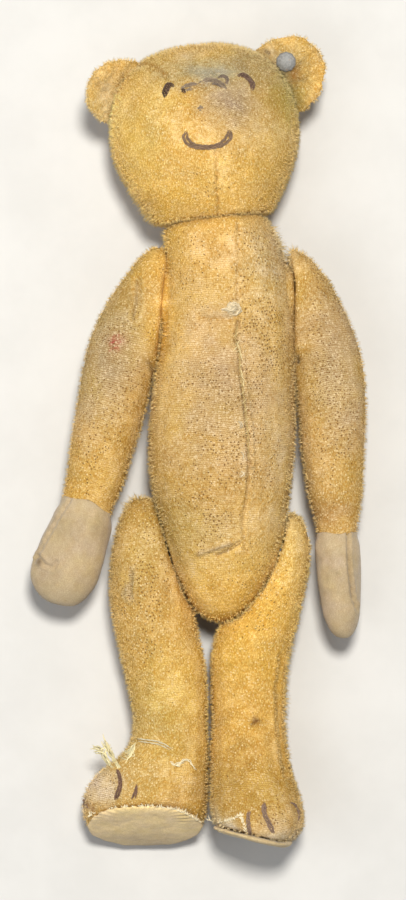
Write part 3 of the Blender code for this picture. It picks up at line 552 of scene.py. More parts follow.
PIECES = {
    # name: CAD nodes, joints, body, voxel in mm, smoothing rounds, ends of the middle line
    "torso_cloth": (["torso"], list(JOINTS), "body", 0.8, 14,
                    ((0.002, -0.058, 0.022), (-0.003, 0.064, 0.022))),
    "head_cloth": (["head"], ["neck"], "head_part", 0.8, 14,
                   ((-0.003, 0.066, 0.021), (0.002, 0.120, 0.021))),
    "right_arm_cloth": (["right_arm", "right_paw_pad"], ["right_shoulder"], "right_arm_part",
                        0.75, 12, ((-0.028, 0.052, 0.022), (-0.055, -0.050, 0.022))),
    "left_arm_cloth": (["left_arm", "left_paw_pad"], ["left_shoulder"], "left_arm_part",
                       0.75, 12, ((0.030, 0.052, 0.022), (0.040, -0.060, 0.022))),
    "right_leg_cloth": (["right_leg"], ["right_hip"], "right_leg_part", 0.8, 12,
                        ((-0.025, -0.025, 0.022), (-0.024, -0.125, 0.022))),
    "left_leg_cloth": (["left_leg"], ["left_hip"], "left_leg_part", 0.8, 12,
                       ((0.022, -0.025, 0.022), (0.012, -0.125, 0.022))),
    "left_ear_cloth": (["left_ear"], [], "head_part", 0.55, 5,
                       ((0.018, 0.108, 0.021), (0.030, 0.117, 0.021))),
    "right_ear_cloth": (["right_ear"], [], "head_part", 0.55, 5,
                        ((-0.030, 0.105, 0.021), (-0.040, 0.110, 0.028))),
    "right_sole_felt": (["right_foot_pad"], [], "right_leg_part", 0.5, 4, None),
    "left_sole_felt": (["left_foot_pad"], [], "left_leg_part", 0.5, 4, None),
}


# ---------------------------------------------------------------- colour, wear and painted light

# Seams that have both a groove and a line of dirt, in photo places.
CHEST_SEAM = [(238, 223), (238, 241), (237, 282), (238, 300)]
THROAT_SEAM = [(216, 152), (217, 180), (218, 214)]
SHIN_SEAM = [(281, 655), (276, 690), (279, 740), (284, 775)]

GOLD = np.array((0.93, 0.645, 0.19))
BEIGE = np.array((0.69, 0.485, 0.215))

# Patches of colour: photo place, half sizes, turn in degrees, colour, strength.
PATCHES = {
    "head_cloth": [
        (232, 107, 29, 24, -10, (0.28, 0.21, 0.145), 0.9),
        (212, 72, 34, 11, -5, (0.33, 0.285, 0.15), 0.75),
        (160, 75, 14, 8, 20, (0.5, 0.36, 0.17), 0.5),
        (205, 175, 60, 45, 0, (0.74, 0.53, 0.22), 0.6),
        (150, 120, 22, 40, 10, (0.62, 0.49, 0.2), 0.6),
    ],
    "torso_cloth": [
        (200, 270, 34, 50, 0, (0.68, 0.47, 0.18), 0.6),
        (216, 309, 20, 3, 0, (0.82, 0.62, 0.33), 0.6),
        (233, 309, 6.5, 6, 0, (0.74, 0.64, 0.44), 0.95),
        (240, 425, 5, 8, 10, (0.74, 0.6, 0.36), 0.8), (243, 474, 6, 5, 0, (0.74, 0.6, 0.36), 0.7),
        (243, 455, 4, 6, 0, (0.72, 0.57, 0.32), 0.6),
        (268, 250, 24, 30, 0, (0.62, 0.49, 0.27), 0.6),
        (215, 360, 26, 34, 0, (0.6, 0.43, 0.25), 0.6),
        (225, 400, 70, 60, 0, (0.58, 0.42, 0.24), 0.7),
        (215, 560, 40, 45, 0, (0.6, 0.47, 0.2), 0.6),
        (165, 330, 12, 60, 0, (0.72, 0.48, 0.17), 0.6),
        (285, 330, 10, 70, 0, (0.66, 0.46, 0.2), 0.6),
    ],
    "right_arm_cloth": [
        (110, 360, 30, 60, 20, (0.58, 0.42, 0.245), 0.8),
        (116, 344, 7, 9, 30, (0.62, 0.24, 0.17), 0.5),
        (160, 290, 12, 40, 10, (0.7, 0.48, 0.19), 0.6),
    ],
    "left_arm_cloth": [
        (335, 360, 30, 70, -10, (0.62, 0.45, 0.235), 0.8),
        (325, 515, 18, 14, -30, (0.5, 0.3, 0.11), 0.7),
        (305, 450, 8, 60, -5, (0.72, 0.48, 0.17), 0.7),
    ],
    "right_leg_cloth": [
        (160, 600, 40, 60, 0, (0.7, 0.5, 0.21), 0.7),
        (150, 720, 40, 45, 0, (0.6, 0.47, 0.19), 0.7),
        (131, 585, 4, 14, 0, (0.45, 0.33, 0.19), 0.6),
        (98, 788, 24, 16, -8, (0.86, 0.64, 0.36), 0.95),
    ],
    "left_leg_cloth": [
        (240, 700, 40, 80, 0, (0.74, 0.49, 0.165), 0.8),
        (285, 600, 18, 60, 10, (0.78, 0.52, 0.17), 0.6),
        (255, 723, 4, 3, 20, (0.2, 0.1, 0.05), 0.8),
        (278, 826, 24, 20, 20, (0.84, 0.63, 0.36), 0.9),
        (237, 785, 7, 6, 0, (0.46, 0.3, 0.09), 0.6), (240, 749, 8, 5, 0, (0.52, 0.36, 0.11), 0.5),
        (228, 827, 20, 8, 25, (0.9, 0.78, 0.58), 1.0),
        (276, 844, 28, 9, -12, (0.82, 0.7, 0.5), 0.95),
    ],
    "left_ear_cloth": [
        (285, 70, 16, 16, 0, (0.5, 0.38, 0.22), 0.8), (296, 74, 7, 8, 30, (0.55, 0.24, 0.05), 0.9),
    ],
    "right_ear_cloth": [(105, 105, 14, 22, 10, (0.58, 0.44, 0.23), 0.7)],
}

# Bald zones, where the woven backing shows: photo place, half sizes, turn, strength.
BALD = [
    (232, 107, 32, 26, -10, 1.0), (215, 72, 34, 12, 0, 0.8), (225, 400, 80, 110, 0, 0.9),
    (110, 370, 34, 80, 20, 1.0), (335, 370, 34, 90, -8, 0.9), (205, 300, 40, 40, 0, 0.7),
    (131, 585, 8, 22, 0, 1.0), (215, 540, 60, 60, 0, 0.7), (160, 640, 26, 60, 0, 0.45),
    (285, 70, 20, 22, 0, 0.8), (100, 560, 60, 60, 0, 0.6), (98, 788, 26, 18, -8, 1.0),
    (280, 828, 22, 22, 20, 1.0), (234, 826, 16, 9, 25, 1.0),
]


# Lines of dirt, of fresher pile, and of painted shade in creases and gaps between parts: photo
# places, half width in pixels, colour, strength.
LINES = {
    "torso_cloth": [
        (CHEST_SEAM, 0.9, (0.4, 0.27, 0.1), 0.6),
        ([(238, 322), (235.5, 340), (239, 350), (240.6, 375), (243, 391), (245.6, 412)], 1.5,
         (0.3, 0.2, 0.09), 0.8),
        ([(245.6, 412), (247.6, 430), (249, 463), (247.6, 496), (242.6, 523), (246, 554)], 1.0,
         (0.38, 0.25, 0.1), 0.5),
        ([(199, 318), (212, 319), (230, 321), (240, 317)], 1.8, (0.52, 0.3, 0.06), 0.75),
        # Painted shade: a dark line in the crease.
        ([(218, 555), (232, 549), (240, 543)], 1.0, (0.2, 0.13, 0.07), 0.8),
        ([(199, 553), (214, 549), (230, 544)], 2.6, (0.52, 0.42, 0.3), 0.7),
        ([(183, 437), (200, 434), (216, 441)], 2.6, (0.7, 0.42, 0.08), 0.55),
        ([(164, 262), (163, 290), (166, 330), (162, 360)], 5.0, (0.74, 0.42, 0.08), 0.7),
        ([(293, 275), (296, 330), (298, 400)], 2.2, (0.55, 0.33, 0.09), 0.6),
        ([(176, 575), (190, 596), (215, 614), (245, 610), (268, 590)], 3.0, (0.6, 0.4, 0.1), 0.5),
    ],
    "head_cloth": [
        (THROAT_SEAM, 0.9, (0.42, 0.26, 0.08), 0.8),
        ([(137, 65), (149, 64), (157, 68), (166, 75)], 2.2, (0.46, 0.26, 0.06), 0.7),
        ([(164, 226), (189, 224), (236, 214), (264, 215)], 2.0, (0.5, 0.3, 0.08), 0.6),
        ([(180, 90), (205, 84), (228, 82)], 4.0, (0.46, 0.36, 0.24), 0.5),
    ],
    "right_arm_cloth": [
        ([(137, 280), (137, 300), (134, 318)], 1.6, (0.42, 0.32, 0.19), 0.6),
        ([(113, 337), (118, 335)], 1.1, (0.56, 0.07, 0.07), 0.9),
        ([(110, 344), (114, 341), (120, 342)], 1.2, (0.54, 0.07, 0.07), 0.9),
        ([(111, 350), (116, 347), (119, 350)], 1.0, (0.56, 0.08, 0.07), 0.8),
        ([(178, 262), (168, 279), (164, 302), (161, 328), (156, 355)], 2.4, (0.58, 0.31, 0.06),
         0.8),
        # Painted shadow: a dark line in the gap between arm and body.
        ([(149, 362), (152, 372), (152, 386)], 2.2, (0.16, 0.1, 0.06), 0.8),
    ],
    "left_arm_cloth": [
        ([(293, 275), (295, 330), (296, 350)], 1.6, (0.5, 0.3, 0.08), 0.7),
        # Painted shadow: a near-black mark at the arm's edge beside the body.
        ([(298, 356), (298.5, 362)], 2.0, (0.02, 0.012, 0.006), 1.0),
    ],
    "right_leg_cloth": [
        ([(131, 573), (130.5, 597)], 1.8, (0.48, 0.36, 0.22), 0.7),
        ([(153, 506), (163, 545), (176, 585), (190, 610)], 2.2, (0.55, 0.34, 0.08), 0.6),
        ([(148, 640), (152, 665), (149, 690)], 3.0, (0.5, 0.38, 0.14), 0.5),
        ([(84, 800), (88, 806), (93, 810)], 3.0, (0.3, 0.17, 0.12), 0.6),
    ],
    "left_leg_cloth": [
        ([(212, 665), (213, 700), (212, 770)], 2.6, (0.62, 0.36, 0.07), 0.6),
        (SHIN_SEAM, 1.4, (0.5, 0.31, 0.08), 0.6),
        ([(251, 725), (259, 720)], 1.4, (0.14, 0.06, 0.03), 0.9),
    ],
    "left_ear_cloth": [
        ([(255, 52), (272, 68), (286, 86), (300, 110)], 4.0, (0.56, 0.36, 0.12), 0.7),
        ([(266, 51), (269, 53)], 2.0, (0.16, 0.11, 0.06), 0.9),
    ],
    "right_ear_cloth": [
        ([(104, 88), (108, 104), (111, 121)], 2.4, (0.44, 0.3, 0.12), 0.6),
        ([(133, 60), (120, 78), (112, 100), (110, 122)], 3.0, (0.5, 0.36, 0.14), 0.6),
    ],
}


# Broad changes of tone over the front, partly the cloth's own uneven colour and partly painted
# light and shade: photo middle, half sizes, turn, share of each colour.
TONES_AND_SHADE = [
    (205, 180, 80, 50, 0, (1.18, 1.2, 1.12)), (140, 130, 30, 50, 0, (1.1, 1.12, 0.98)),
    (280, 135, 30, 50, 0, (0.85, 0.89, 1.0)), (225, 68, 70, 18, 0, (0.84, 0.98, 1.36)),
    (215, 400, 60, 60, 0, (0.84, 0.82, 0.68)), (215, 490, 60, 40, 0, (0.82, 0.8, 0.76)),
    (222, 590, 60, 34, 0, (1.2, 1.1, 0.84)), (165, 330, 16, 80, 0, (1.32, 1.34, 1.18)),
    (265, 270, 24, 40, 0, (0.96, 1.05, 1.34)), (115, 350, 40, 110, 15, (0.77, 0.78, 0.68)),
    (335, 380, 40, 140, -8, (0.75, 0.77, 0.78)), (150, 550, 36, 60, 0, (0.76, 0.81, 0.8)),
    (170, 700, 50, 60, 0, (1.06, 1.08, 0.92)), (110, 785, 40, 26, 0, (0.86, 0.94, 1.1)),
    (290, 560, 26, 50, 0, (1.04, 1.16, 1.38)), (255, 640, 40, 60, 0, (1.12, 1.16, 0.96)),
    (255, 795, 60, 40, 0, (0.66, 0.64, 0.46)), (105, 105, 18, 26, 0, (1.14, 1.28, 1.56)),
    (292, 88, 16, 30, 0, (0.76, 0.88, 0.7)), (215, 400, 110, 330, 0, (0.97, 0.98, 0.98)),
    (285, 330, 14, 70, 0, (1.12, 1.16, 1.12)), (285, 470, 20, 50, 0, (1.02, 1.1, 1.26)),
    (110, 330, 26, 50, 15, (0.92, 0.95, 0.96)), (330, 300, 24, 50, -8, (0.93, 0.92, 0.9)),
    (335, 505, 22, 24, 0, (1.02, 1.06, 1.26)),
]


def patch_share(px, py, x, y, rx, ry, turn):
    """A soft oval patch: 1 in its middle, 0.5 at its half sizes, 0 far off."""
    c, s = math.cos(math.radians(turn)), math.sin(math.radians(turn))
    a = ((px - x) * c + (py - y) * s) / rx
    b = (-(px - x) * s + (py - y) * c) / ry
    return np.exp(-(a * a + b * b) * 0.7)


# Where the holes of the lost pile show: photo middle, half sizes, turn, share of them.
PRICKED = [
    (268, 330, 36, 110, 0, 1.0), (225, 370, 60, 60, 0, 0.75), (240, 440, 60, 60, 0, 0.85),
    (200, 500, 40, 60, 0, 0.8), (268, 262, 30, 40, 0, 1.0), (232, 107, 30, 26, -10, 0.55),
    (105, 400, 40, 100, 18, 0.8), (338, 370, 34, 120, -8, 0.9), (135, 590, 30, 70, 5, 1.0),
    (255, 600, 34, 60, 0, 0.5), (100, 785, 24, 20, 0, 0.9), (280, 815, 24, 22, 0, 0.9),
    (285, 75, 20, 24, 0, 0.7), (216, 180, 26, 30, 0, 0.55), (190, 265, 30, 30, 0, 0.7),
]


def blend(tint, share, colour):
    share = share[:, None]
    return tint * (1 - share) + np.array(colour)[None, :] * share


def put_tint(mesh, tint):
    whole = np.column_stack([np.clip(tint, 0.02, 1), np.ones(len(tint))])
    put(mesh, "tint", whole, "FLOAT_COLOR")


def dress(name, mesh):
    """Writes the colour, wear and bare spots of a cloth skin, with painted light and shade in broad
    patches and painted shade along some creases and gaps.
    """
    co, normal = points_of(mesh), normals_of(mesh)
    px, py = to_photo(co)
    spread, fine, lumps = mist(co, 9 * MM, 5), mist(co, 3 * MM, 8), mist(co, 3.4 * MM, 35)
    front = step(-0.35, 0.15, normal[:, 2])
    wobbly = px + 7 * fog(co, 5 * MM, 21), py + 7 * fog(co, 5 * MM, 22)

    def share_of(place, strength=1.0):
        return patch_share(*wobbly, *place) * front * strength

    bald = 0.35 + 0.25 * spread + 0.15 * fine
    for *place, strength in BALD:
        bald = np.maximum(bald, share_of(place, strength) * (0.85 + 0.2 * fine))
    bald = np.clip(bald, 0, 1)
    tint = blend(GOLD, bald, BEIGE)
    for *place, colour, strength in PATCHES[name]:
        tint = blend(tint, share_of(place, strength), colour)
    for points, half, colour, strength in LINES.get(name, []):
        gap, _ = line_distance(px + 0.8 * fog(co, 2 * MM, 41), py, points)
        share = np.exp(-(gap / half) ** 2) * front * strength
        share *= 0.8 + 0.3 * fog(co, 1.6 * MM, 42)
        tint = blend(tint, np.clip(share, 0, 1), colour)
    # Painted light and shade, together with the cloth's own uneven colour, in broad patches over
    # the front.
    for *place, colour in TONES_AND_SHADE:
        tint = tint * (1 + (np.array(colour)[None, :] - 1) * share_of(place)[:, None])
    tint *= (1 + 0.08 * spread + 0.08 * fine)[:, None]
    tint[:, 2] *= 1 - 0.10 * mist(co, 14 * MM, 31) - 0.16 * lumps
    tint[:, 1] *= 1 - 0.025 * lumps
    bare = np.full(len(co), 0.18) + 0.12 * spread
    for *place, strength in PRICKED:
        bare = np.maximum(bare, share_of(place, strength))
    put(mesh, "bare", np.clip(bare, 0, 1))
    put(mesh, "bald", bald)
    put_tint(mesh, tint)


PAW_TINT = np.array((0.43, 0.335, 0.205))
SOLE_TINT = np.array((0.74, 0.57, 0.30))


def dress_felt(name, mesh):
    """Writes the colour of a felt piece, soiled in soft clouds, with painted light and shade on a
    sole's gathers and painted shade along a sole's lower rim.
    """
    co = points_of(mesh)
    cloud = 1 + 0.08 * mist(co, 6 * MM, 5) + 0.07 * mist(co, 1.6 * MM, 9)
    tint = (SOLE_TINT if "sole" in name else PAW_TINT)[None, :] * cloud[:, None]
    tint[:, 2] *= 1 + 0.10 * mist(co, 4 * MM, 12)
    if "sole" in name:
        # Painted light and shade on a sole: its gathers, and its upper and lower sides.
        tint *= (1 + 0.22 * get(mesh, "gather"))[:, None]
    for *place, colour, strength in FELT_PATCHES[name]:
        tint = blend(tint, patch_share(*to_photo(co), *place) * strength, colour)
    put_tint(mesh, tint)


# ---------------------------------------------------------------- shape details

# Grooves: line in photo places, depth, half width and raised edge in millimetres, and pucker.
GROOVES = {
    "torso_cloth": [
        (CHEST_SEAM, 0.45, 0.6, 0.15, 0.1),
        ([(238, 322), (235.5, 340), (239, 350), (240.6, 375), (243, 391), (247.6, 430),
         (249, 463)], 0.9, 0.6, 0.6, 0.5),
        ([(249, 463), (247.6, 496), (242.6, 523), (246, 554)], 0.5, 0.6, 0.2, 0.2),
        ([(201, 318), (212, 319), (230, 319), (240, 316)], 0.6, 0.8, 0.0, 0.1),
        ([(207, 311), (218, 310), (232, 310)], -0.5, 1.2, 0.0, 0.2),
        ([(218, 556), (231, 550), (240, 543)], 1.0, 0.6, 0.0, 0.0),
        ([(199, 553), (214, 548), (232, 542)], -0.9, 0.8, 0.0, 0.1),
        ([(183, 439), (200, 436), (216, 443)], 0.4, 1.2, 0.0, 0.0),
    ],
    "head_cloth": [
        (THROAT_SEAM, 0.6, 0.6, 0.15, 0.4),
        ([(137, 66), (149, 65), (157, 69), (166, 76)], 0.7, 0.9, 0.2, 0.0),
    ],
    "right_arm_cloth": [([(138, 280), (138, 300), (135, 318)], 0.8, 1.0, 0.5, 0.0)],
    "right_leg_cloth": [([(131, 572), (130.5, 598)], 0.5, 0.6, 0.3, 0.0)],
    "left_leg_cloth": [(SHIN_SEAM, 0.5, 0.7, 0.2, 0.3)],
    "right_paw_felt": [
        ([(70, 500), (56, 522), (44, 545), (35, 562)], 0.35, 0.5, 0.2, 0.5),
        ([(38, 556), (45, 565), (54, 568), (57, 562)], 0.45, 0.6, 0.35, 0.0),
        ([(88, 512), (76, 540), (66, 560)], 0.18, 1.4, 0.1, 0.0),
    ],
    "left_paw_felt": [
        ([(348, 532), (349, 569), (352, 595), (357, 610)], 0.5, 0.5, 0.35, 0.4),
        ([(338, 575), (341, 588)], 0.3, 0.6, 0.2, 0.0),
        ([(322, 545), (328, 562), (326, 580)], 0.16, 1.2, 0.1, 0.0),
    ],
}


REFINED = 8  # photo pixels from a groove's middle within which faces are halved


def refine(mesh, lines, reach):
    """Halves the faces of a skin along its seams and creases."""
    px, py = to_photo(points_of(mesh))
    near = np.zeros(len(px), bool)
    for line in lines:
        near |= line_distance(px, py, line[0])[0] < reach
    near &= normals_of(mesh)[:, 2] > 0
    bm = bmesh.new()
    bm.from_mesh(mesh)
    bm.verts.ensure_lookup_table()
    edges = [e for e in bm.edges if near[e.verts[0].index] and near[e.verts[1].index]]
    bmesh.ops.subdivide_edges(bm, edges=edges, cuts=1, use_grid_fill=True)
    bmesh.ops.triangulate(bm, faces=[f for f in bm.faces if len(f.verts) > 4])
    bm.to_mesh(mesh)
    bm.free()
    mesh.shade_smooth()


# Fuller places of the stuffing: photo middle, half sizes, direction, push in millimetres.
SWELLS = {
    "right_arm_cloth": [
        (154, 375, 14, 45, (1, 0, 0), 1.3), (160, 262, 14, 14, (0.8, 0.5, 0.1), 1.2),
        (161, 305, 9, 34, (1, 0, 0), 0.6),
    ],
    "left_arm_cloth": [
        (290, 258, 13, 13, (-0.9, 0.4, 0.1), 1.9), (294, 330, 9, 70, (-1, 0, 0), 0.7),
    ],
    "torso_cloth": [
        (233, 309, 6.5, 5.5, (0, 0, 1), 1.3), (240, 425, 4, 7, (0, 0, 1), 0.6),
        (243, 474, 5, 4, (0, 0, 1), 0.5),
    ],
}

# Corners that the CAD has sharper than the photo: photo middle, half size, push in millimetres.
TUCKS = {
    "left_leg_cloth": [(304, 846, 13, (-2.4, 1.7, 0.0))],
    "left_sole_felt": [(304, 846, 13, (-2.4, 1.7, 0.0))],
}


def tuck(name, co):
    """Moves a corner inwards, with a smooth run-out round it."""
    px, py = to_photo(co)
    for x, y, size, push in TUCKS.get(name, []):
        share = patch_share(px, py, x, y, size, size, 0)
        co = co + np.array(push)[None, :] * MM * share[:, None]
    return co


def shape(name, mesh):
    """Presses seams and creases into a skin, and gives it the lumps of packed stuffing."""
    if GROOVES.get(name):
        refine(mesh, GROOVES[name], REFINED)
    set_points(mesh, tuck(name, points_of(mesh)))
    co, normal = points_of(mesh), normals_of(mesh)
    px, py = to_photo(co)
    front = step(0.0, 0.35, normal[:, 2])
    for x, y, rx, ry, way, reach in SWELLS.get(name, []):
        way = np.array(way) / np.linalg.norm(way)
        facing = step(0.0, 0.5, normal @ way) * patch_share(px, py, x, y, rx, ry, 0)
        co = co + way[None, :] * (reach * MM * facing)[:, None]
    push = 0.28 * MM * fog(co, 9 * MM, 3) + 0.12 * MM * fog(co, 4 * MM, 4)
    if "ear" in name:
        push += 0.42 * MM * fog(co, 1.7 * MM, 5)
    for points, deep, half, edge, pucker in GROOVES.get(name, []):
        gap, along = line_distance(px, py, points)
        wave = 1 + pucker * np.sin(along * 0.68 + 2 * fog(co, 6 * MM, 51))
        push -= front * wave * deep * MM * np.exp(-(gap * PIXEL / half) ** 2)
        push += front * wave * edge * MM * np.exp(-((gap * PIXEL - 1.9 * half) / half) ** 2)
    set_points(mesh, co + normal * push[:, None])


# Gathers at a sole's edge: photo middle and half sizes.
PLEATS = {"right_sole_felt": (141, 823, 62, 23), "left_sole_felt": (257, 833, 46, 12)}

FELT_PATCHES = {
    "right_paw_felt": [
        (58, 540, 10, 30, 35, (0.4, 0.31, 0.17), 0.5),
        (70, 596, 26, 10, 0, (0.42, 0.34, 0.21), 0.5),
        (39, 562, 2.5, 3.5, 0, (0.14, 0.1, 0.06), 0.9),
        (95, 510, 24, 6, 12, (0.52, 0.42, 0.25), 0.5),
    ],
    "left_paw_felt": [
        (350, 570, 2.5, 34, -3, (0.3, 0.22, 0.12), 0.7),
        (330, 545, 16, 8, 0, (0.52, 0.42, 0.27), 0.5),
        (342, 622, 12, 12, 0, (0.42, 0.33, 0.19), 0.5),
    ],
    "right_sole_felt": [
        (88, 806, 9, 6, 20, (0.26, 0.16, 0.11), 0.6),
        # Painted shade: a darker band along the sole's lower rim.
        (150, 842, 40, 7, 0, (0.36, 0.28, 0.17), 0.6),
        (190, 818, 12, 8, 0, (0.44, 0.35, 0.18), 0.5),
    ],
    # Painted shade: a darker band along the left sole's lower rim.
    "left_sole_felt": [(255, 840, 40, 8, 0, (0.36, 0.29, 0.17), 0.6)],
}


def pleat(name, mesh):
    """Gathers the felt round the edge of a sole, and keeps how far each point is in a gather,
    raised on the sole's upper side and lowered on its lower side: the painted light and shade of
    its colour.
    """
    set_points(mesh, tuck(name, points_of(mesh)))
    x, y, rx, ry = PLEATS[name]
    co, normal = points_of(mesh), normals_of(mesh)
    px, py = to_photo(co)
    a, b = (px - x) / rx, (py - y) / ry
    far = np.hypot(a, b)
    turn = np.arctan2(b, a)
    wave = np.sin(turn * 34 + 3 * fog(co, 5 * MM, 61)) * (0.55 + 0.45 * fog(co, 4 * MM, 63))
    upper = step(0.3, -0.5, b)
    gather = wave * upper * np.exp(-((far - 0.80) / 0.22) ** 2)
    push = 0.34 * MM * gather
    push += 0.26 * MM * fog(co, 5 * MM, 62) + 0.08 * MM * fog(co, 1.2 * MM, 64)
    set_points(mesh, co + normal * push[:, None])
    # Painted light and shade: lighter on the crests of the gathers and on the sole's upper side,
    # darker in their hollows and towards its lower edge.
    put(mesh, "gather", gather + 0.5 * step(0.0, -1.0, b) - 0.7 * step(0.3, 1.1, b))


SKINS = {}


def add_piece(name, mesh, body, material, nodes):
    obj = bpy.data.objects.new(name, mesh)
    bpy.context.scene.collection.objects.link(obj)
    mesh.materials.clear()
    mesh.materials.append(material)
    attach(obj, body)
    if nodes:
        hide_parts(*nodes)
    return obj


def rise_of(co, bulges):
    """How much higher than its straight line a felt edge runs, in metres along Y."""
    px, _ = to_photo(co)
    return sum(high * PIXEL * MM * np.exp(-((px - x) / half) ** 2) for x, half, high in bulges)


def cut_by_plane(mesh, point, normal, bulges):
    """The part of a closed mesh on the far side of a bulging plane, closed again."""
    bm = bmesh.new()
    bm.from_mesh(mesh)
    co = points_of(mesh)
    for vert, rise in zip(bm.verts, rise_of(co, bulges)):
        vert.co.y -= rise
    bmesh.ops.bisect_plane(bm, geom=list(bm.verts) + list(bm.edges) + list(bm.faces),
                           plane_co=point, plane_no=normal, clear_inner=True)
    rim = [e for e in bm.edges if e.is_boundary]
    bmesh.ops.holes_fill(bm, edges=rim)
    bmesh.ops.triangulate(bm, faces=[f for f in bm.faces if len(f.verts) > 4])
    made = bpy.data.meshes.new(mesh.name + "_part")
    bm.to_mesh(made)
    bm.free()
    co = points_of(made)
    co[:, 1] += rise_of(co, bulges)
    set_points(made, co)
    made.shade_smooth()
    return made


# The felt paws: the seam's two ends in the photo, its bulges, and the names of skin and CAD pad.
PAWS = {
    "right_arm_cloth": ((68, 497), (120, 518), [(90, 13, 6)], "right_paw_felt", "right_paw_pad"),
    "left_arm_cloth": ((309, 536), (364, 531), [(324, 9, 3)], "left_paw_felt", "left_paw_pad"),
}


def split_paw(mesh, body, left, right, bulges, name, pad_node):
    """Makes the felt paw from the end of an arm's skin, and tucks the skin in under it."""
    a, b = from_photo(*left), from_photo(*right)
    out = (b - a).cross(Vector((0, 0, 1))).normalized()
    if out.y > 0:
        out = -out

    def swell(skin, reach, low, high):
        co = points_of(skin)
        depth = (co - np.array(a)) @ np.array(out) - rise_of(co, bulges) * out.y
        push = reach * MM * step(low * MM, high * MM, depth)
        set_points(skin, co + normals_of(skin) * push[:, None])

    paw = cut_by_plane(mesh, a, out, bulges)
    swell(paw, 0.25, 0.0, 0.6)
    shape(name, paw)
    dress_felt(name, paw)
    SKINS[name] = add_piece(name, paw, body, FELT, [pad_node])
    swell(mesh, -0.9, -0.2, 1.2)


for name, (nodes, joints, body, voxel, rounds, ends) in PIECES.items():
    mesh = skin_mesh(name, nodes, joints, voxel * MM, rounds)
    if name.endswith("felt"):
        pleat(name, mesh)
        dress_felt(name, mesh)
        SKINS[name] = add_piece(name, mesh, body, FELT, nodes)
        continue
    shape(name, mesh)
    if name in PAWS:
        split_paw(mesh, body, *PAWS[name])
        nodes = nodes[:1]
    across, along = weave_places(points_of(mesh), *ends)
    weave = np.column_stack([across / WEAVE, along / WEAVE, np.zeros(len(across))])
    put(mesh, "weave", weave, "FLOAT_VECTOR")
    dress(name, mesh)
    SKINS[name] = add_piece(name, mesh, body, MOHAIR, nodes)


# ---------------------------------------------------------------- pile

def sample(mesh, count):
    """Random places on a mesh, with its normal, baldness and tint there."""
    mesh.calc_loop_triangles()
    tri = np.empty(len(mesh.loop_triangles) * 3, np.int32)
    mesh.loop_triangles.foreach_get("vertices", tri)
    tri = tri.reshape(-1, 3)
    a, b, c = points_of(mesh)[tri.T]
    size = np.linalg.norm(np.cross(b - a, c - a), axis=1)
    pick = rng.choice(len(tri), count, p=size / size.sum())
    r1, r2 = np.sqrt(rng.random(count)), rng.random(count)
    w = np.stack([1 - r1, r1 * (1 - r2), r1 * r2], axis=1)

    def read(values):
        return (values[tri[pick]] * (w if values.ndim == 1 else w[:, :, None])).sum(axis=1)

    bald, tint = get(mesh, "bald"), get(mesh, "tint", 4)
    return [read(values) for values in (points_of(mesh), normals_of(mesh), bald, tint)]


def hair_mesh(name, root, tip, side, width, colour):
    """Closed three-sided spikes, one a hair."""
    count = len(root)
    way = tip - root
    way /= np.linalg.norm(way, axis=1)[:, None]
    u = np.cross(way, side)
    u /= np.maximum(np.linalg.norm(u, axis=1), 1e-9)[:, None]
    v = np.cross(way, u)
    verts = np.empty((count, 4, 3))
    for k in range(3):
        a = 2 * math.pi * k / 3
        verts[:, k] = root + (u * math.cos(a) + v * math.sin(a)) * width[:, None]
    verts[:, 3] = tip
    base = np.arange(count)[:, None] * 4
    sides = ((0, 2, 1), (0, 1, 3), (1, 2, 3), (2, 0, 3))
    faces = np.concatenate([base + np.array(f)[None, :] for f in sides], axis=1).reshape(-1, 3)
    mesh = bpy.data.meshes.new(name)
    mesh.vertices.add(count * 4)
    mesh.vertices.foreach_set("co", verts.astype(np.float32).ravel())
    mesh.loops.add(len(faces) * 3)
    mesh.loops.foreach_set("vertex_index", faces.astype(np.int32).ravel())
    mesh.polygons.add(len(faces))
    mesh.polygons.foreach_set("loop_start", np.arange(0, len(faces) * 3, 3, dtype=np.int32))
    mesh.update(calc_edges=True)
    mesh.validate()
    put(mesh, "tint", np.repeat(colour, 4, axis=0), "FLOAT_COLOR")
    return mesh


# Places where longer pile is left: photo middle, half sizes, turn, length in mm, strength.
SHAGGY = [
    (276, 238, 14, 16, 40, 2.6, 1.0), (292, 256, 12, 10, 30, 2.2, 1.0),
    (168, 236, 12, 14, 0, 2.2, 0.9), (160, 262, 10, 16, 10, 1.8, 0.8),
    (150, 196, 18, 26, -20, 2.4, 0.9), (290, 180, 10, 40, 10, 1.8, 0.8),
    (132, 500, 12, 10, 0, 2.4, 1.0), (150, 512, 8, 12, 0, 2.0, 0.9),
    (292, 516, 9, 10, 0, 2.0, 0.9), (290, 700, 10, 66, -4, 2.2, 1.0),
    (200, 700, 7, 80, 0, 1.8, 0.7), (213, 720, 6, 60, 0, 1.6, 0.7), (215, 60, 90, 12, 0, 1.6, 0.7),
    (300, 70, 34, 46, 20, 1.5, 0.9), (98, 92, 22, 36, 10, 1.4, 0.9),
    (300, 790, 12, 20, 0, 1.8, 0.8), (140, 740, 16, 12, 0, 1.8, 0.6),
    (294, 340, 6, 70, 0, 1.6, 0.8), (106, 640, 10, 90, -8, 1.6, 0.7),
    (163, 320, 6, 60, 0, 1.5, 0.7), (220, 612, 40, 10, 0, 1.8, 0.8),
]


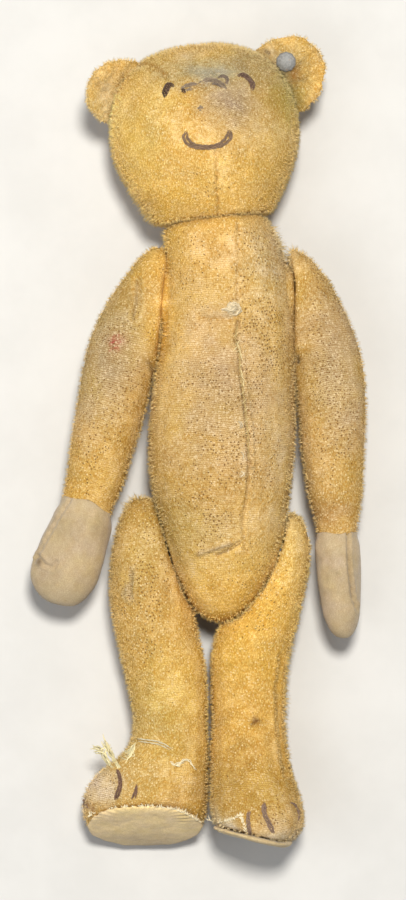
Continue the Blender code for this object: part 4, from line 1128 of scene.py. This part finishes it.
def add_pile(name, skin, body, tufts):
    """Worn pile in small tufts: stubble on the front, longer at the sides and in shaggy places."""
    root, normal, bald, tint = sample(skin.data, tufts * 2)
    px, py = to_photo(root)
    normal /= np.linalg.norm(normal, axis=1)[:, None]
    edge = 1 - step(0.10, 0.62, np.abs(normal[:, 2] - 0.05))
    keep = rng.random(len(root)) < (1.0 - 0.80 * bald) * (0.55 + 0.45 * edge)
    keep &= (normal[:, 2] > -0.4) | (rng.random(len(root)) < 0.5)
    for centre, axis in JOINTS.values():
        off, axis = root - np.array(centre), np.array(axis)
        along = off @ axis
        aside = np.linalg.norm(off - np.outer(along, axis), axis=1)
        keep &= (aside > CLEAR_ASIDE) | (np.abs(along) > CLEAR_ALONG)
    long = 0.42 + 0.72 * edge + 0.15 * (1 - bald)
    for *place, reach, strength in SHAGGY:
        share = np.clip(patch_share(px, py, *place) * 1.6, 0, 1) * strength
        share = share * (rng.random(len(root)) < 0.55)
        long = np.maximum(long, reach * share * (0.4 + 0.6 * edge))
    root, normal, tint, long, edge = (v[keep][:tufts] for v in (root, normal, tint, long, edge))
    way = normal + rng.normal(0, 0.38, (len(root), 3)) + np.array((0.0, -0.30, 0.0))
    root, normal, way, tint, long, edge = (np.repeat(v, HAIRS, axis=0)
                                           for v in (root, normal, way, tint, long, edge))
    count = len(root)
    way = way + rng.normal(0, 0.30, (count, 3))
    way /= np.linalg.norm(way, axis=1)[:, None]
    length = long * (0.55 + 0.75 * rng.random(count)) * MM
    width = (0.060 + 0.055 * rng.random(count)) * MM
    tip = root + way * length[:, None]
    tip[:, 2] = np.maximum(tip[:, 2], np.minimum(root[:, 2], 0.0) - 0.1 * MM)
    tone = 0.86 + 0.42 * rng.random(count)
    pale = (rng.random(count) ** 1.6 * (0.55 + 0.45 * edge))[:, None]
    colour = tint[:, :3] * tone[:, None]
    colour = colour * (1 - 0.75 * pale) + np.array(PALE_TIP) * 0.75 * pale
    colour = np.column_stack([np.clip(colour, 0, 1), np.ones(count)])
    side = rng.normal(0, 1, (count, 3))
    made = hair_mesh(name, root - normal * 0.1 * MM, tip, side, width, colour)
    return add_piece(name, made, body, HAIR, [])


# Tufts in each piece of pile.
TUFTS = {
    "torso": 10000, "head": 12500, "right_arm": 5200, "left_arm": 5200,
    "right_leg": 8400, "left_leg": 8400, "left_ear": 2800, "right_ear": 2200,
}

for name, tufts in TUFTS.items():
    cloth = name + "_cloth"
    add_pile(name + "_pile", SKINS[cloth], PIECES[cloth][2], tufts)


# ---------------------------------------------------------------- threads

thread_rng = np.random.default_rng(7)
TREES = {}

EYE_BROWN = (0.055, 0.028, 0.020)
BROW_GREY = (0.245, 0.190, 0.135)
MOUTH_BROWN = (0.215, 0.140, 0.088)
CLAW_BROWN = (0.185, 0.100, 0.068)
CLAW_MAUVE = (0.250, 0.165, 0.120)
KNOT = (0.64, 0.55, 0.38)
STRAW = (0.52, 0.39, 0.17)
PALE_STRAW = (0.64, 0.53, 0.29)
WHITE = (0.74, 0.68, 0.48)
TORN_FIBRE = (0.68, 0.62, 0.38)
FELT_FIBRE = (0.74, 0.66, 0.46)
RING_GAP = 1.6  # photo pixels between two rings of a strand
STRAND_SIDES = 6


def smooth_line(points, gap):
    """Even steps on a smooth curve through photo places."""
    spots = [Vector(p) for p in points]
    ends = [spots[0] * 2 - spots[1]] + spots + [spots[-1] * 2 - spots[-2]]
    line = []
    for a, b, c, d in zip(ends, ends[1:], ends[2:], ends[3:]):
        steps = max(2, int((c - b).length / gap))
        for k in range(steps):
            t = k / steps
            bend = (2 * a - 5 * b + 4 * c - d) * t * t + (3 * b - 3 * c + d - a) * t ** 3
            line.append((2 * b + (c - a) * t + bend) * 0.5)
    return line + [spots[-1]]


def lay_on(skin, line, lift):
    """Points on a skin under photo places, raised by that lift, and the way out there.

    Past the skin's edge they keep the last height.
    """
    if skin not in TREES:
        mesh = SKINS[skin].data
        TREES[skin] = BVHTree.FromPolygons([v.co for v in mesh.vertices],
                                           [p.vertices for p in mesh.polygons])
    spots, ways = [], []
    for place in line:
        aim = (from_photo(*place) - CAMERA_SPOT).normalized()
        hit, way = TREES[skin].ray_cast(CAMERA_SPOT, aim)[:2]
        if hit is None:
            level = spots[-1].z if spots else MID_HEIGHT
            hit, way = from_photo(*place, level), Vector((0, 0, 1))
            spots.append(hit)
        else:
            spots.append(hit + way * lift)
        ways.append(way)
    return spots, ways


def strand_tubes(spots, ways, strands, wide, thick, pitch, sink, ragged):
    """Twisted strands along a line: rings of points for each strand."""
    count = len(spots)
    run = np.zeros(count)
    for i in range(1, count):
        run[i] = run[i - 1] + (spots[i] - spots[i - 1]).length
    tubes = []
    radius = 0.62 * (wide * thick) ** 0.5 / max(1.0, strands ** 0.5) * (1.0 if strands > 1 else 1.6)
    for s in range(strands):
        rings = []
        start = 2 * math.pi * s / strands
        drift = thread_rng.normal(0, ragged, (count, 2))
        for i in range(count):
            ahead = (spots[min(i + 1, count - 1)] - spots[max(i - 1, 0)]).normalized()
            out = (ways[i] - ahead * ways[i].dot(ahead)).normalized()
            side = ahead.cross(out)
            edge = min(i, count - 1 - i) / max(1, min(3, count // 2))
            taper = min(1.0, 0.45 + 0.55 * edge)
            turn = start + 2 * math.pi * run[i] / pitch
            middle = spots[i] + side * (math.cos(turn) * wide * taper / 2 + drift[i, 0])
            middle += out * (math.sin(turn) * thick * taper / 2 + abs(drift[i, 1]))
            middle -= out * (sink * max(0.0, 1 - edge))
            ring = []
            for k in range(STRAND_SIDES):
                a = 2 * math.pi * k / STRAND_SIDES
                ring.append(middle + (side * math.cos(a) + out * math.sin(a)) * radius * taper)
            rings.append(ring)
        tubes.append(rings)
    return tubes


def tubes_mesh(name, tubes, colours):
    """Closed tubes as one mesh, each with its own tone."""
    mesh = bpy.data.meshes.new(name)
    verts, faces, tints = [], [], []
    for rings, colour in zip(tubes, colours):
        base = len(verts)
        sides = len(rings[0])
        for ring in rings:
            verts.extend(ring)
        for i in range(len(rings) - 1):
            for k in range(sides):
                a, b = base + i * sides + k, base + i * sides + (k + 1) % sides
                faces.append((a, b, b + sides, a + sides))
        faces.append(tuple(base + k for k in reversed(range(sides))))
        last = base + (len(rings) - 1) * sides
        faces.append(tuple(last + k for k in range(sides)))
        tints.extend([(*colour, 1.0)] * (len(verts) - base))
    mesh.from_pydata(verts, [], faces)
    mesh.shade_smooth()
    put(mesh, "tint", tints, "FLOAT_COLOR")
    return mesh


def add_threads(name, skin, body, rows, nodes):
    """One piece of sewn or loose thread.

    Each row: photo places, width and thickness in mm, strands, twist pitch in mm, lift and
    sink of the ends in mm, raggedness in mm, colour.
    """
    tubes, colours = [], []
    for points, wide, thick, strands, pitch, lift, sink, ragged, colour in rows:
        spots, ways = lay_on(skin, smooth_line(points, RING_GAP), lift * MM)
        made = strand_tubes(spots, ways, strands,
                            *(v * MM for v in (wide, thick, pitch, sink, ragged)))
        tubes.extend(made)
        for _ in made:
            tone = 0.78 + 0.5 * thread_rng.random()
            colours.append(tuple(min(1.0, c * tone) for c in colour))
    mesh = tubes_mesh(name, tubes, colours)
    return add_piece(name, mesh, body, FLOSS if nodes else PALE_THREAD, nodes)


# Widths, strands and so on of stitches, in the order of add_threads.
MOUTH = (0.62, 0.5, 3, 5.5, 0.28, 0.5, 0.03, MOUTH_BROWN)
CLAW = (0.5, 0.45, 3, 5, 0.25, 0.5, 0.03, CLAW_BROWN)
WISP = (0.3, 0.25, 2, 3, 0.2, 0.3, 0.05, PALE_STRAW)
TANGLE = (0.8, 0.4, 5, 4, 0.1, 0.3, 0.26, KNOT)
TUFT = (0.5, 0.35, 4, 4, 0.15, 0.3, 0.14, KNOT)

# Stitches that stand for a CAD node, by its name.
STITCHES = {
    "right_eye_stitch": [
        ([(164.8, 98), (165.4, 91), (167.4, 86.4), (170.6, 84.6), (174.8, 86.8)], 1.5, 0.5, 7, 9,
         0.25, 0.5, 0.06, EYE_BROWN),
        ([(167.4, 94), (168.6, 89), (171, 87)], 0.8, 0.45, 4, 7, 0.2, 0.4, 0.06, EYE_BROWN),
    ],
    "left_eye_stitch": [
        ([(237, 75.8), (242.6, 75.2), (248.4, 79), (252.2, 85), (251.8, 91)], 1.6, 0.5, 7, 10,
         0.25, 0.5, 0.06, (0.12, 0.068, 0.05)),
    ],
    "brow_stitch": [
        ([(181.5, 88), (183.5, 90.5), (185.6, 93.4)], 0.9, 0.45, 4, 6, 0.2, 0.4, 0.08, EYE_BROWN),
        ([(180.6, 88.5), (186, 86.4), (192, 84.4), (197.4, 84.0)], 1.1, 0.4, 5, 8, 0.2, 0.4, 0.12,
         BROW_GREY),
        ([(183, 91.5), (189, 89.5), (194.5, 88.4)], 0.7, 0.35, 3, 6, 0.15, 0.4, 0.12, BROW_GREY),
        ([(197, 84), (202.6, 80.8)], 0.4, 0.3, 2, 5, 0.15, 0.4, 0.05, BROW_GREY),
        ([(202, 81.6), (209, 79.8), (217, 81.6), (222, 85), (227, 89.4)], 1.2, 0.42, 6, 9, 0.2,
         0.5, 0.1, BROW_GREY),
        ([(210, 83.4), (217, 84.6), (223, 87.6)], 0.6, 0.35, 3, 6, 0.15, 0.4, 0.1,
         (0.15, 0.12, 0.1)),
        ([(217.6, 77.6), (222.6, 76.2), (227, 79), (226.2, 84.4)], 0.95, 0.45, 5, 7, 0.2, 0.4,
         0.08, (0.165, 0.125, 0.1)),
    ],
    "nose_stitch": [
        ([(197, 108.6), (200.4, 107.2), (203.6, 108.4)], 0.9, 0.4, 4, 6, 0.15, 0.4, 0.1,
         BROW_GREY),
        ([(198.4, 110.4), (201.6, 110.2)], 0.5, 0.35, 3, 5, 0.1, 0.4, 0.08, BROW_GREY),
    ],
    "mouth_stitch": [
        ([(186.4, 130.8), (183.6, 136.6), (186.8, 143), (194.6, 147), (207, 148), (218.6, 146.4),
         (226.4, 142.4), (231.4, 136.4), (230.8, 130.4)], *MOUTH),
        ([(187.6, 131.4), (187.4, 137), (191, 142), (197, 145), (208, 146), (217.6, 144.2),
         (224, 139.6), (227.4, 134), (227.8, 129.4)], *MOUTH),
        ([(229, 139.6), (230.2, 134.6), (229.2, 129.8)], 0.8, 0.5, 4, 6, 0.3, 0.5, 0.05,
         MOUTH_BROWN),
    ],
    "right_claw_middle": [
        ([(115.8, 768.2), (119, 776), (119.6, 785), (117, 792.4), (114, 801)], 0.55, 0.45, 3, 5,
         0.25, 0.5, 0.03, CLAW_BROWN),
        ([(117.4, 768.6), (120.8, 777), (121.2, 786), (119, 794.6), (115, 801)], *CLAW),
    ],
    "right_claw_inner": [
        ([(136.6, 783.4), (135.4, 791), (130.8, 800.6)], *CLAW),
        ([(137.4, 784), (136.6, 792), (134.8, 800.2)], 0.42, 0.4, 2, 5, 0.22, 0.5, 0.03,
         CLAW_BROWN),
    ],
    "right_claw_outer": [
        ([(83.2, 799.6), (85, 804.4), (89, 808.8)], 0.8, 0.4, 4, 6, 0.2, 0.4, 0.05, CLAW_MAUVE),
    ],
    "left_claw_inner": [
        ([(249.6, 809.6), (248.2, 818), (249, 827), (251.4, 836.4)], 0.95, 0.4, 5, 8, 0.2, 0.5,
         0.06, CLAW_MAUVE),
    ],
    "left_claw_middle": [
        ([(264, 802), (263.6, 811), (267.6, 821), (274.2, 834.6)], 1.15, 0.42, 6, 9, 0.2, 0.5,
         0.06, CLAW_MAUVE),
        ([(264.6, 802), (264.4, 808), (266, 814)], 0.9, 0.4, 4, 7, 0.25, 0.4, 0.06,
         (0.16, 0.1, 0.08)),
    ],
    "left_claw_outer": [
        ([(288.4, 801.8), (294, 804.6), (297.6, 812), (299, 822)], 0.75, 0.4, 4, 7, 0.2, 0.5, 0.05,
         CLAW_MAUVE),
        ([(297.4, 808), (300, 812), (300.6, 816)], 0.7, 0.35, 3, 6, 0.15, 0.4, 0.06, CLAW_MAUVE),
    ],
}

BELLY_SEAM = [
    ([(238, 322), (235.5, 340), (239, 350), (240.6, 375), (243, 391), (245.5, 410), (247.6, 430),
     (249, 463)], 0.62, 0.3, 2, 2.3, 0.02, 0.3, 0.02, STRAW),
    ([(236.4, 341), (240.4, 350), (243, 362)], *WISP),
    ([(240, 366), (243.6, 378), (244.4, 390)], *WISP),
    ([(233, 352), (237, 346), (241, 338)], *WISP),
    ([(226.5, 309), (229, 305), (234, 303.6), (238.6, 306), (239.4, 310.4), (235.6, 313.6),
     (230, 313)], 0.8, 0.4, 5, 5, 0.05, 0.3, 0.26, KNOT),
    ([(226, 307), (233, 309.5), (239, 306.6)], *TANGLE),
    ([(228, 313), (232, 306), (238, 312)], *TANGLE),
    ([(220, 310), (228, 309), (236, 310)], 0.7, 0.4, 5, 4, 0.05, 0.3, 0.22, KNOT),
    ([(238, 421), (242, 424), (240, 429)], *TUFT), ([(241, 471), (244, 474), (240, 477)], *TUFT),
    ([(241, 452), (244, 456), (242, 460)], 0.4, 0.3, 3, 4, 0.15, 0.3, 0.12, KNOT),
] + [
    ([(x - 4.5, y + 4), (x - 0.5, y + 0.5), (x + 4, y - 3.5)],
     0.34, 0.26, 2, 2.5, 0.12, 0.35, 0.04, PALE_STRAW)
    for x, y in ((236.5, 334), (237, 343), (238.6, 350), (239.6, 358), (240.2, 366),
                 (241, 375), (242, 384), (243.4, 392), (244.6, 401), (245.6, 410),
                 (246.8, 420), (247.6, 431))
]

ANKLE_THREADS = [
    ([(137, 739), (150, 740.4), (161.4, 742.6), (171.6, 748.8)], 0.3, 0.25, 2, 4, 0.45, 0.4, 0.05,
     WHITE),
    ([(138, 741.6), (150, 743), (160, 745), (170, 750)], 0.26, 0.22, 2, 4, 0.4, 0.4, 0.05, WHITE),
    ([(170, 761.4), (175.6, 764.4), (182.6, 760), (188.6, 760.6), (191.6, 765.6), (196, 770.4)],
     0.4, 0.3, 3, 4, 0.45, 0.4, 0.12, WHITE),
    ([(171, 763.4), (176.6, 766), (183, 762)], 0.45, 0.3, 3, 4, 0.4, 0.4, 0.15, WHITE),
]

# Frayed ends that stand off the ankle: photo places from the root outwards.
FRAYS = [
    [(118, 768), (113, 755), (107, 746), (104.4, 741.6)],
    [(112, 768), (106, 758), (100, 749), (93.4, 747)],
    [(110, 767), (105.6, 757), (103.4, 752), (97.4, 751.4)],
    [(120, 768), (116, 761), (111, 752.6), (109.4, 748)],
    [(134, 752), (128.6, 753), (123.4, 753.4)],
    [(136, 742), (133, 749), (129.6, 757), (125.6, 758)], [(134, 748), (129, 749), (126.8, 751.6)],
]


def add_frays():
    """Loose torn fibres at the right ankle."""
    rows = []
    for line in FRAYS:
        for _ in range(6):
            points = []
            for i, (px, py) in enumerate(line):
                jitter = thread_rng.normal(0, 0.5 + 0.8 * i, 2)
                points.append((px + jitter[0], py + jitter[1]))
            size = 0.13 + 0.10 * thread_rng.random()
            rows.append((points, size, size, 1, 4, 0.2, 0.3, 0.04, TORN_FIBRE))
    add_threads("right_ankle_fray", "right_leg_cloth", "right_leg_part", rows, [])


# Ragged felt edges: piece, skin, body, number of fibres, photo places of the edge.
RAGGED_EDGES = [
    ("right_sole_fray", "right_sole_felt", "right_leg_part", 150,
     [(88, 817), (100, 810.5), (120, 807), (150, 806), (175, 809.5), (192, 816.5), (201, 823)]),
    ("left_sole_fray", "left_leg_cloth", "left_leg_part", 130,
     [(210, 820), (217, 824), (226, 821), (233, 819), (241, 814.5), (242, 822), (247, 832),
      (253, 838)]),
]


def add_ragged_edge(name, skin, body, count, line):
    """Short pale fibres that stand off a worn felt edge."""
    rows = []
    for _ in range(count):
        place = thread_rng.random() * (len(line) - 1)
        i = min(int(place), len(line) - 2)
        (ax, ay), (bx, by) = line[i], line[i + 1]
        x, y = ax + (bx - ax) * (place - i), ay + (by - ay) * (place - i)
        dx, dy = thread_rng.normal(0, 1.5, 2)
        size = 0.11 + 0.09 * thread_rng.random()
        points = [(x - 0.3 * dx, y + 0.6), (x + 0.5 * dx, y - 0.4), (x + dx, y - 1.2 + dy)]
        rows.append((points, size, size, 1, 4, 0.10, 0.2, 0.02, FELT_FIBRE))
    add_threads(name, skin, body, rows, [])


for node, rows in STITCHES.items():
    part = node.split("_")[0] + "_leg" if "claw" in node else "head"
    name = node.removesuffix("_stitch") + "_floss"
    add_threads(name, part + "_cloth", part + "_part", rows, [node])
add_threads("belly_seam_thread", "torso_cloth", "body", BELLY_SEAM, [])
add_threads("right_ankle_threads", "right_leg_cloth", "right_leg_part", ANKLE_THREADS, [])
add_frays()
for row in RAGGED_EDGES:
    add_ragged_edge(*row)


# ---------------------------------------------------------------- CAD pieces that stay

for name, obj in frame["nodes"].items():
    if name == "ear_stud":
        look = STUD
    elif name.endswith("disc"):
        look = CARD
    elif name.endswith(("washer", "pin")):
        look = STEEL
    else:
        continue
    obj.data.materials.clear()
    obj.data.materials.append(look)


# ---------------------------------------------------------------- stage, camera, light

def add_stage():
    mesh = bpy.data.meshes.new("floor")
    bm = bmesh.new()
    bmesh.ops.create_grid(bm, x_segments=1, y_segments=1, size=3.0)
    bm.to_mesh(mesh)
    bm.free()
    floor = bpy.data.objects.new("floor", mesh)
    floor.location.z = FLOOR_Z
    bpy.context.scene.collection.objects.link(floor)
    s = Shader("pale_floor")
    grain = s.ramp(s.noise(30, 4, 0.6), 0.3, 0.7)
    mesh.materials.append(s.finish(s.mix(grain, (0.56, 0.555, 0.54), (0.60, 0.595, 0.58)), 0.9))
    floor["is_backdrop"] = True


def add_light(name, place, target, size, power, colour):
    data = bpy.data.lights.new(name, "AREA")
    data.shape = "DISK"
    data.size = size
    data.energy = power
    data.color = colour
    obj = bpy.data.objects.new(name, data)
    obj.location = place
    obj.rotation_euler = (Vector(target) - Vector(place)).to_track_quat("-Z", "Y").to_euler()
    bpy.context.scene.collection.objects.link(obj)


add_stage()
add_light("key", (0.05, 0.27, 1.20), (0, 0, 0.02), 0.20, 18.0, (1.0, 0.965, 0.90))
add_light("fill", (-0.6, -0.3, 1.0), (0, 0, 0.02), 1.0, 3.5, (0.95, 0.97, 1.0))
world = bpy.data.worlds.new("room")
bpy.context.scene.world = world
world.use_nodes = True
back = next(n for n in world.node_tree.nodes if n.type == "BACKGROUND")
back.inputs["Color"].default_value = (0.95, 0.97, 1.0, 1.0)
back.inputs["Strength"].default_value = 0.30

camera_data = bpy.data.cameras.new("camera")
camera_data.lens = CAMERA_LENS
camera_data.sensor_width = 36.0
camera = bpy.data.objects.new("camera", camera_data)
camera.location = CAMERA_SPOT
bpy.context.scene.collection.objects.link(camera)
bpy.context.scene.camera = camera
bpy.context.scene.view_settings.view_transform = "Standard"

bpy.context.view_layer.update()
total = 0
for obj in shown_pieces():
    if obj.type == "MESH":
        obj.data.calc_loop_triangles()
        total += len(obj.data.loop_triangles)
print("TRIANGLES", total)
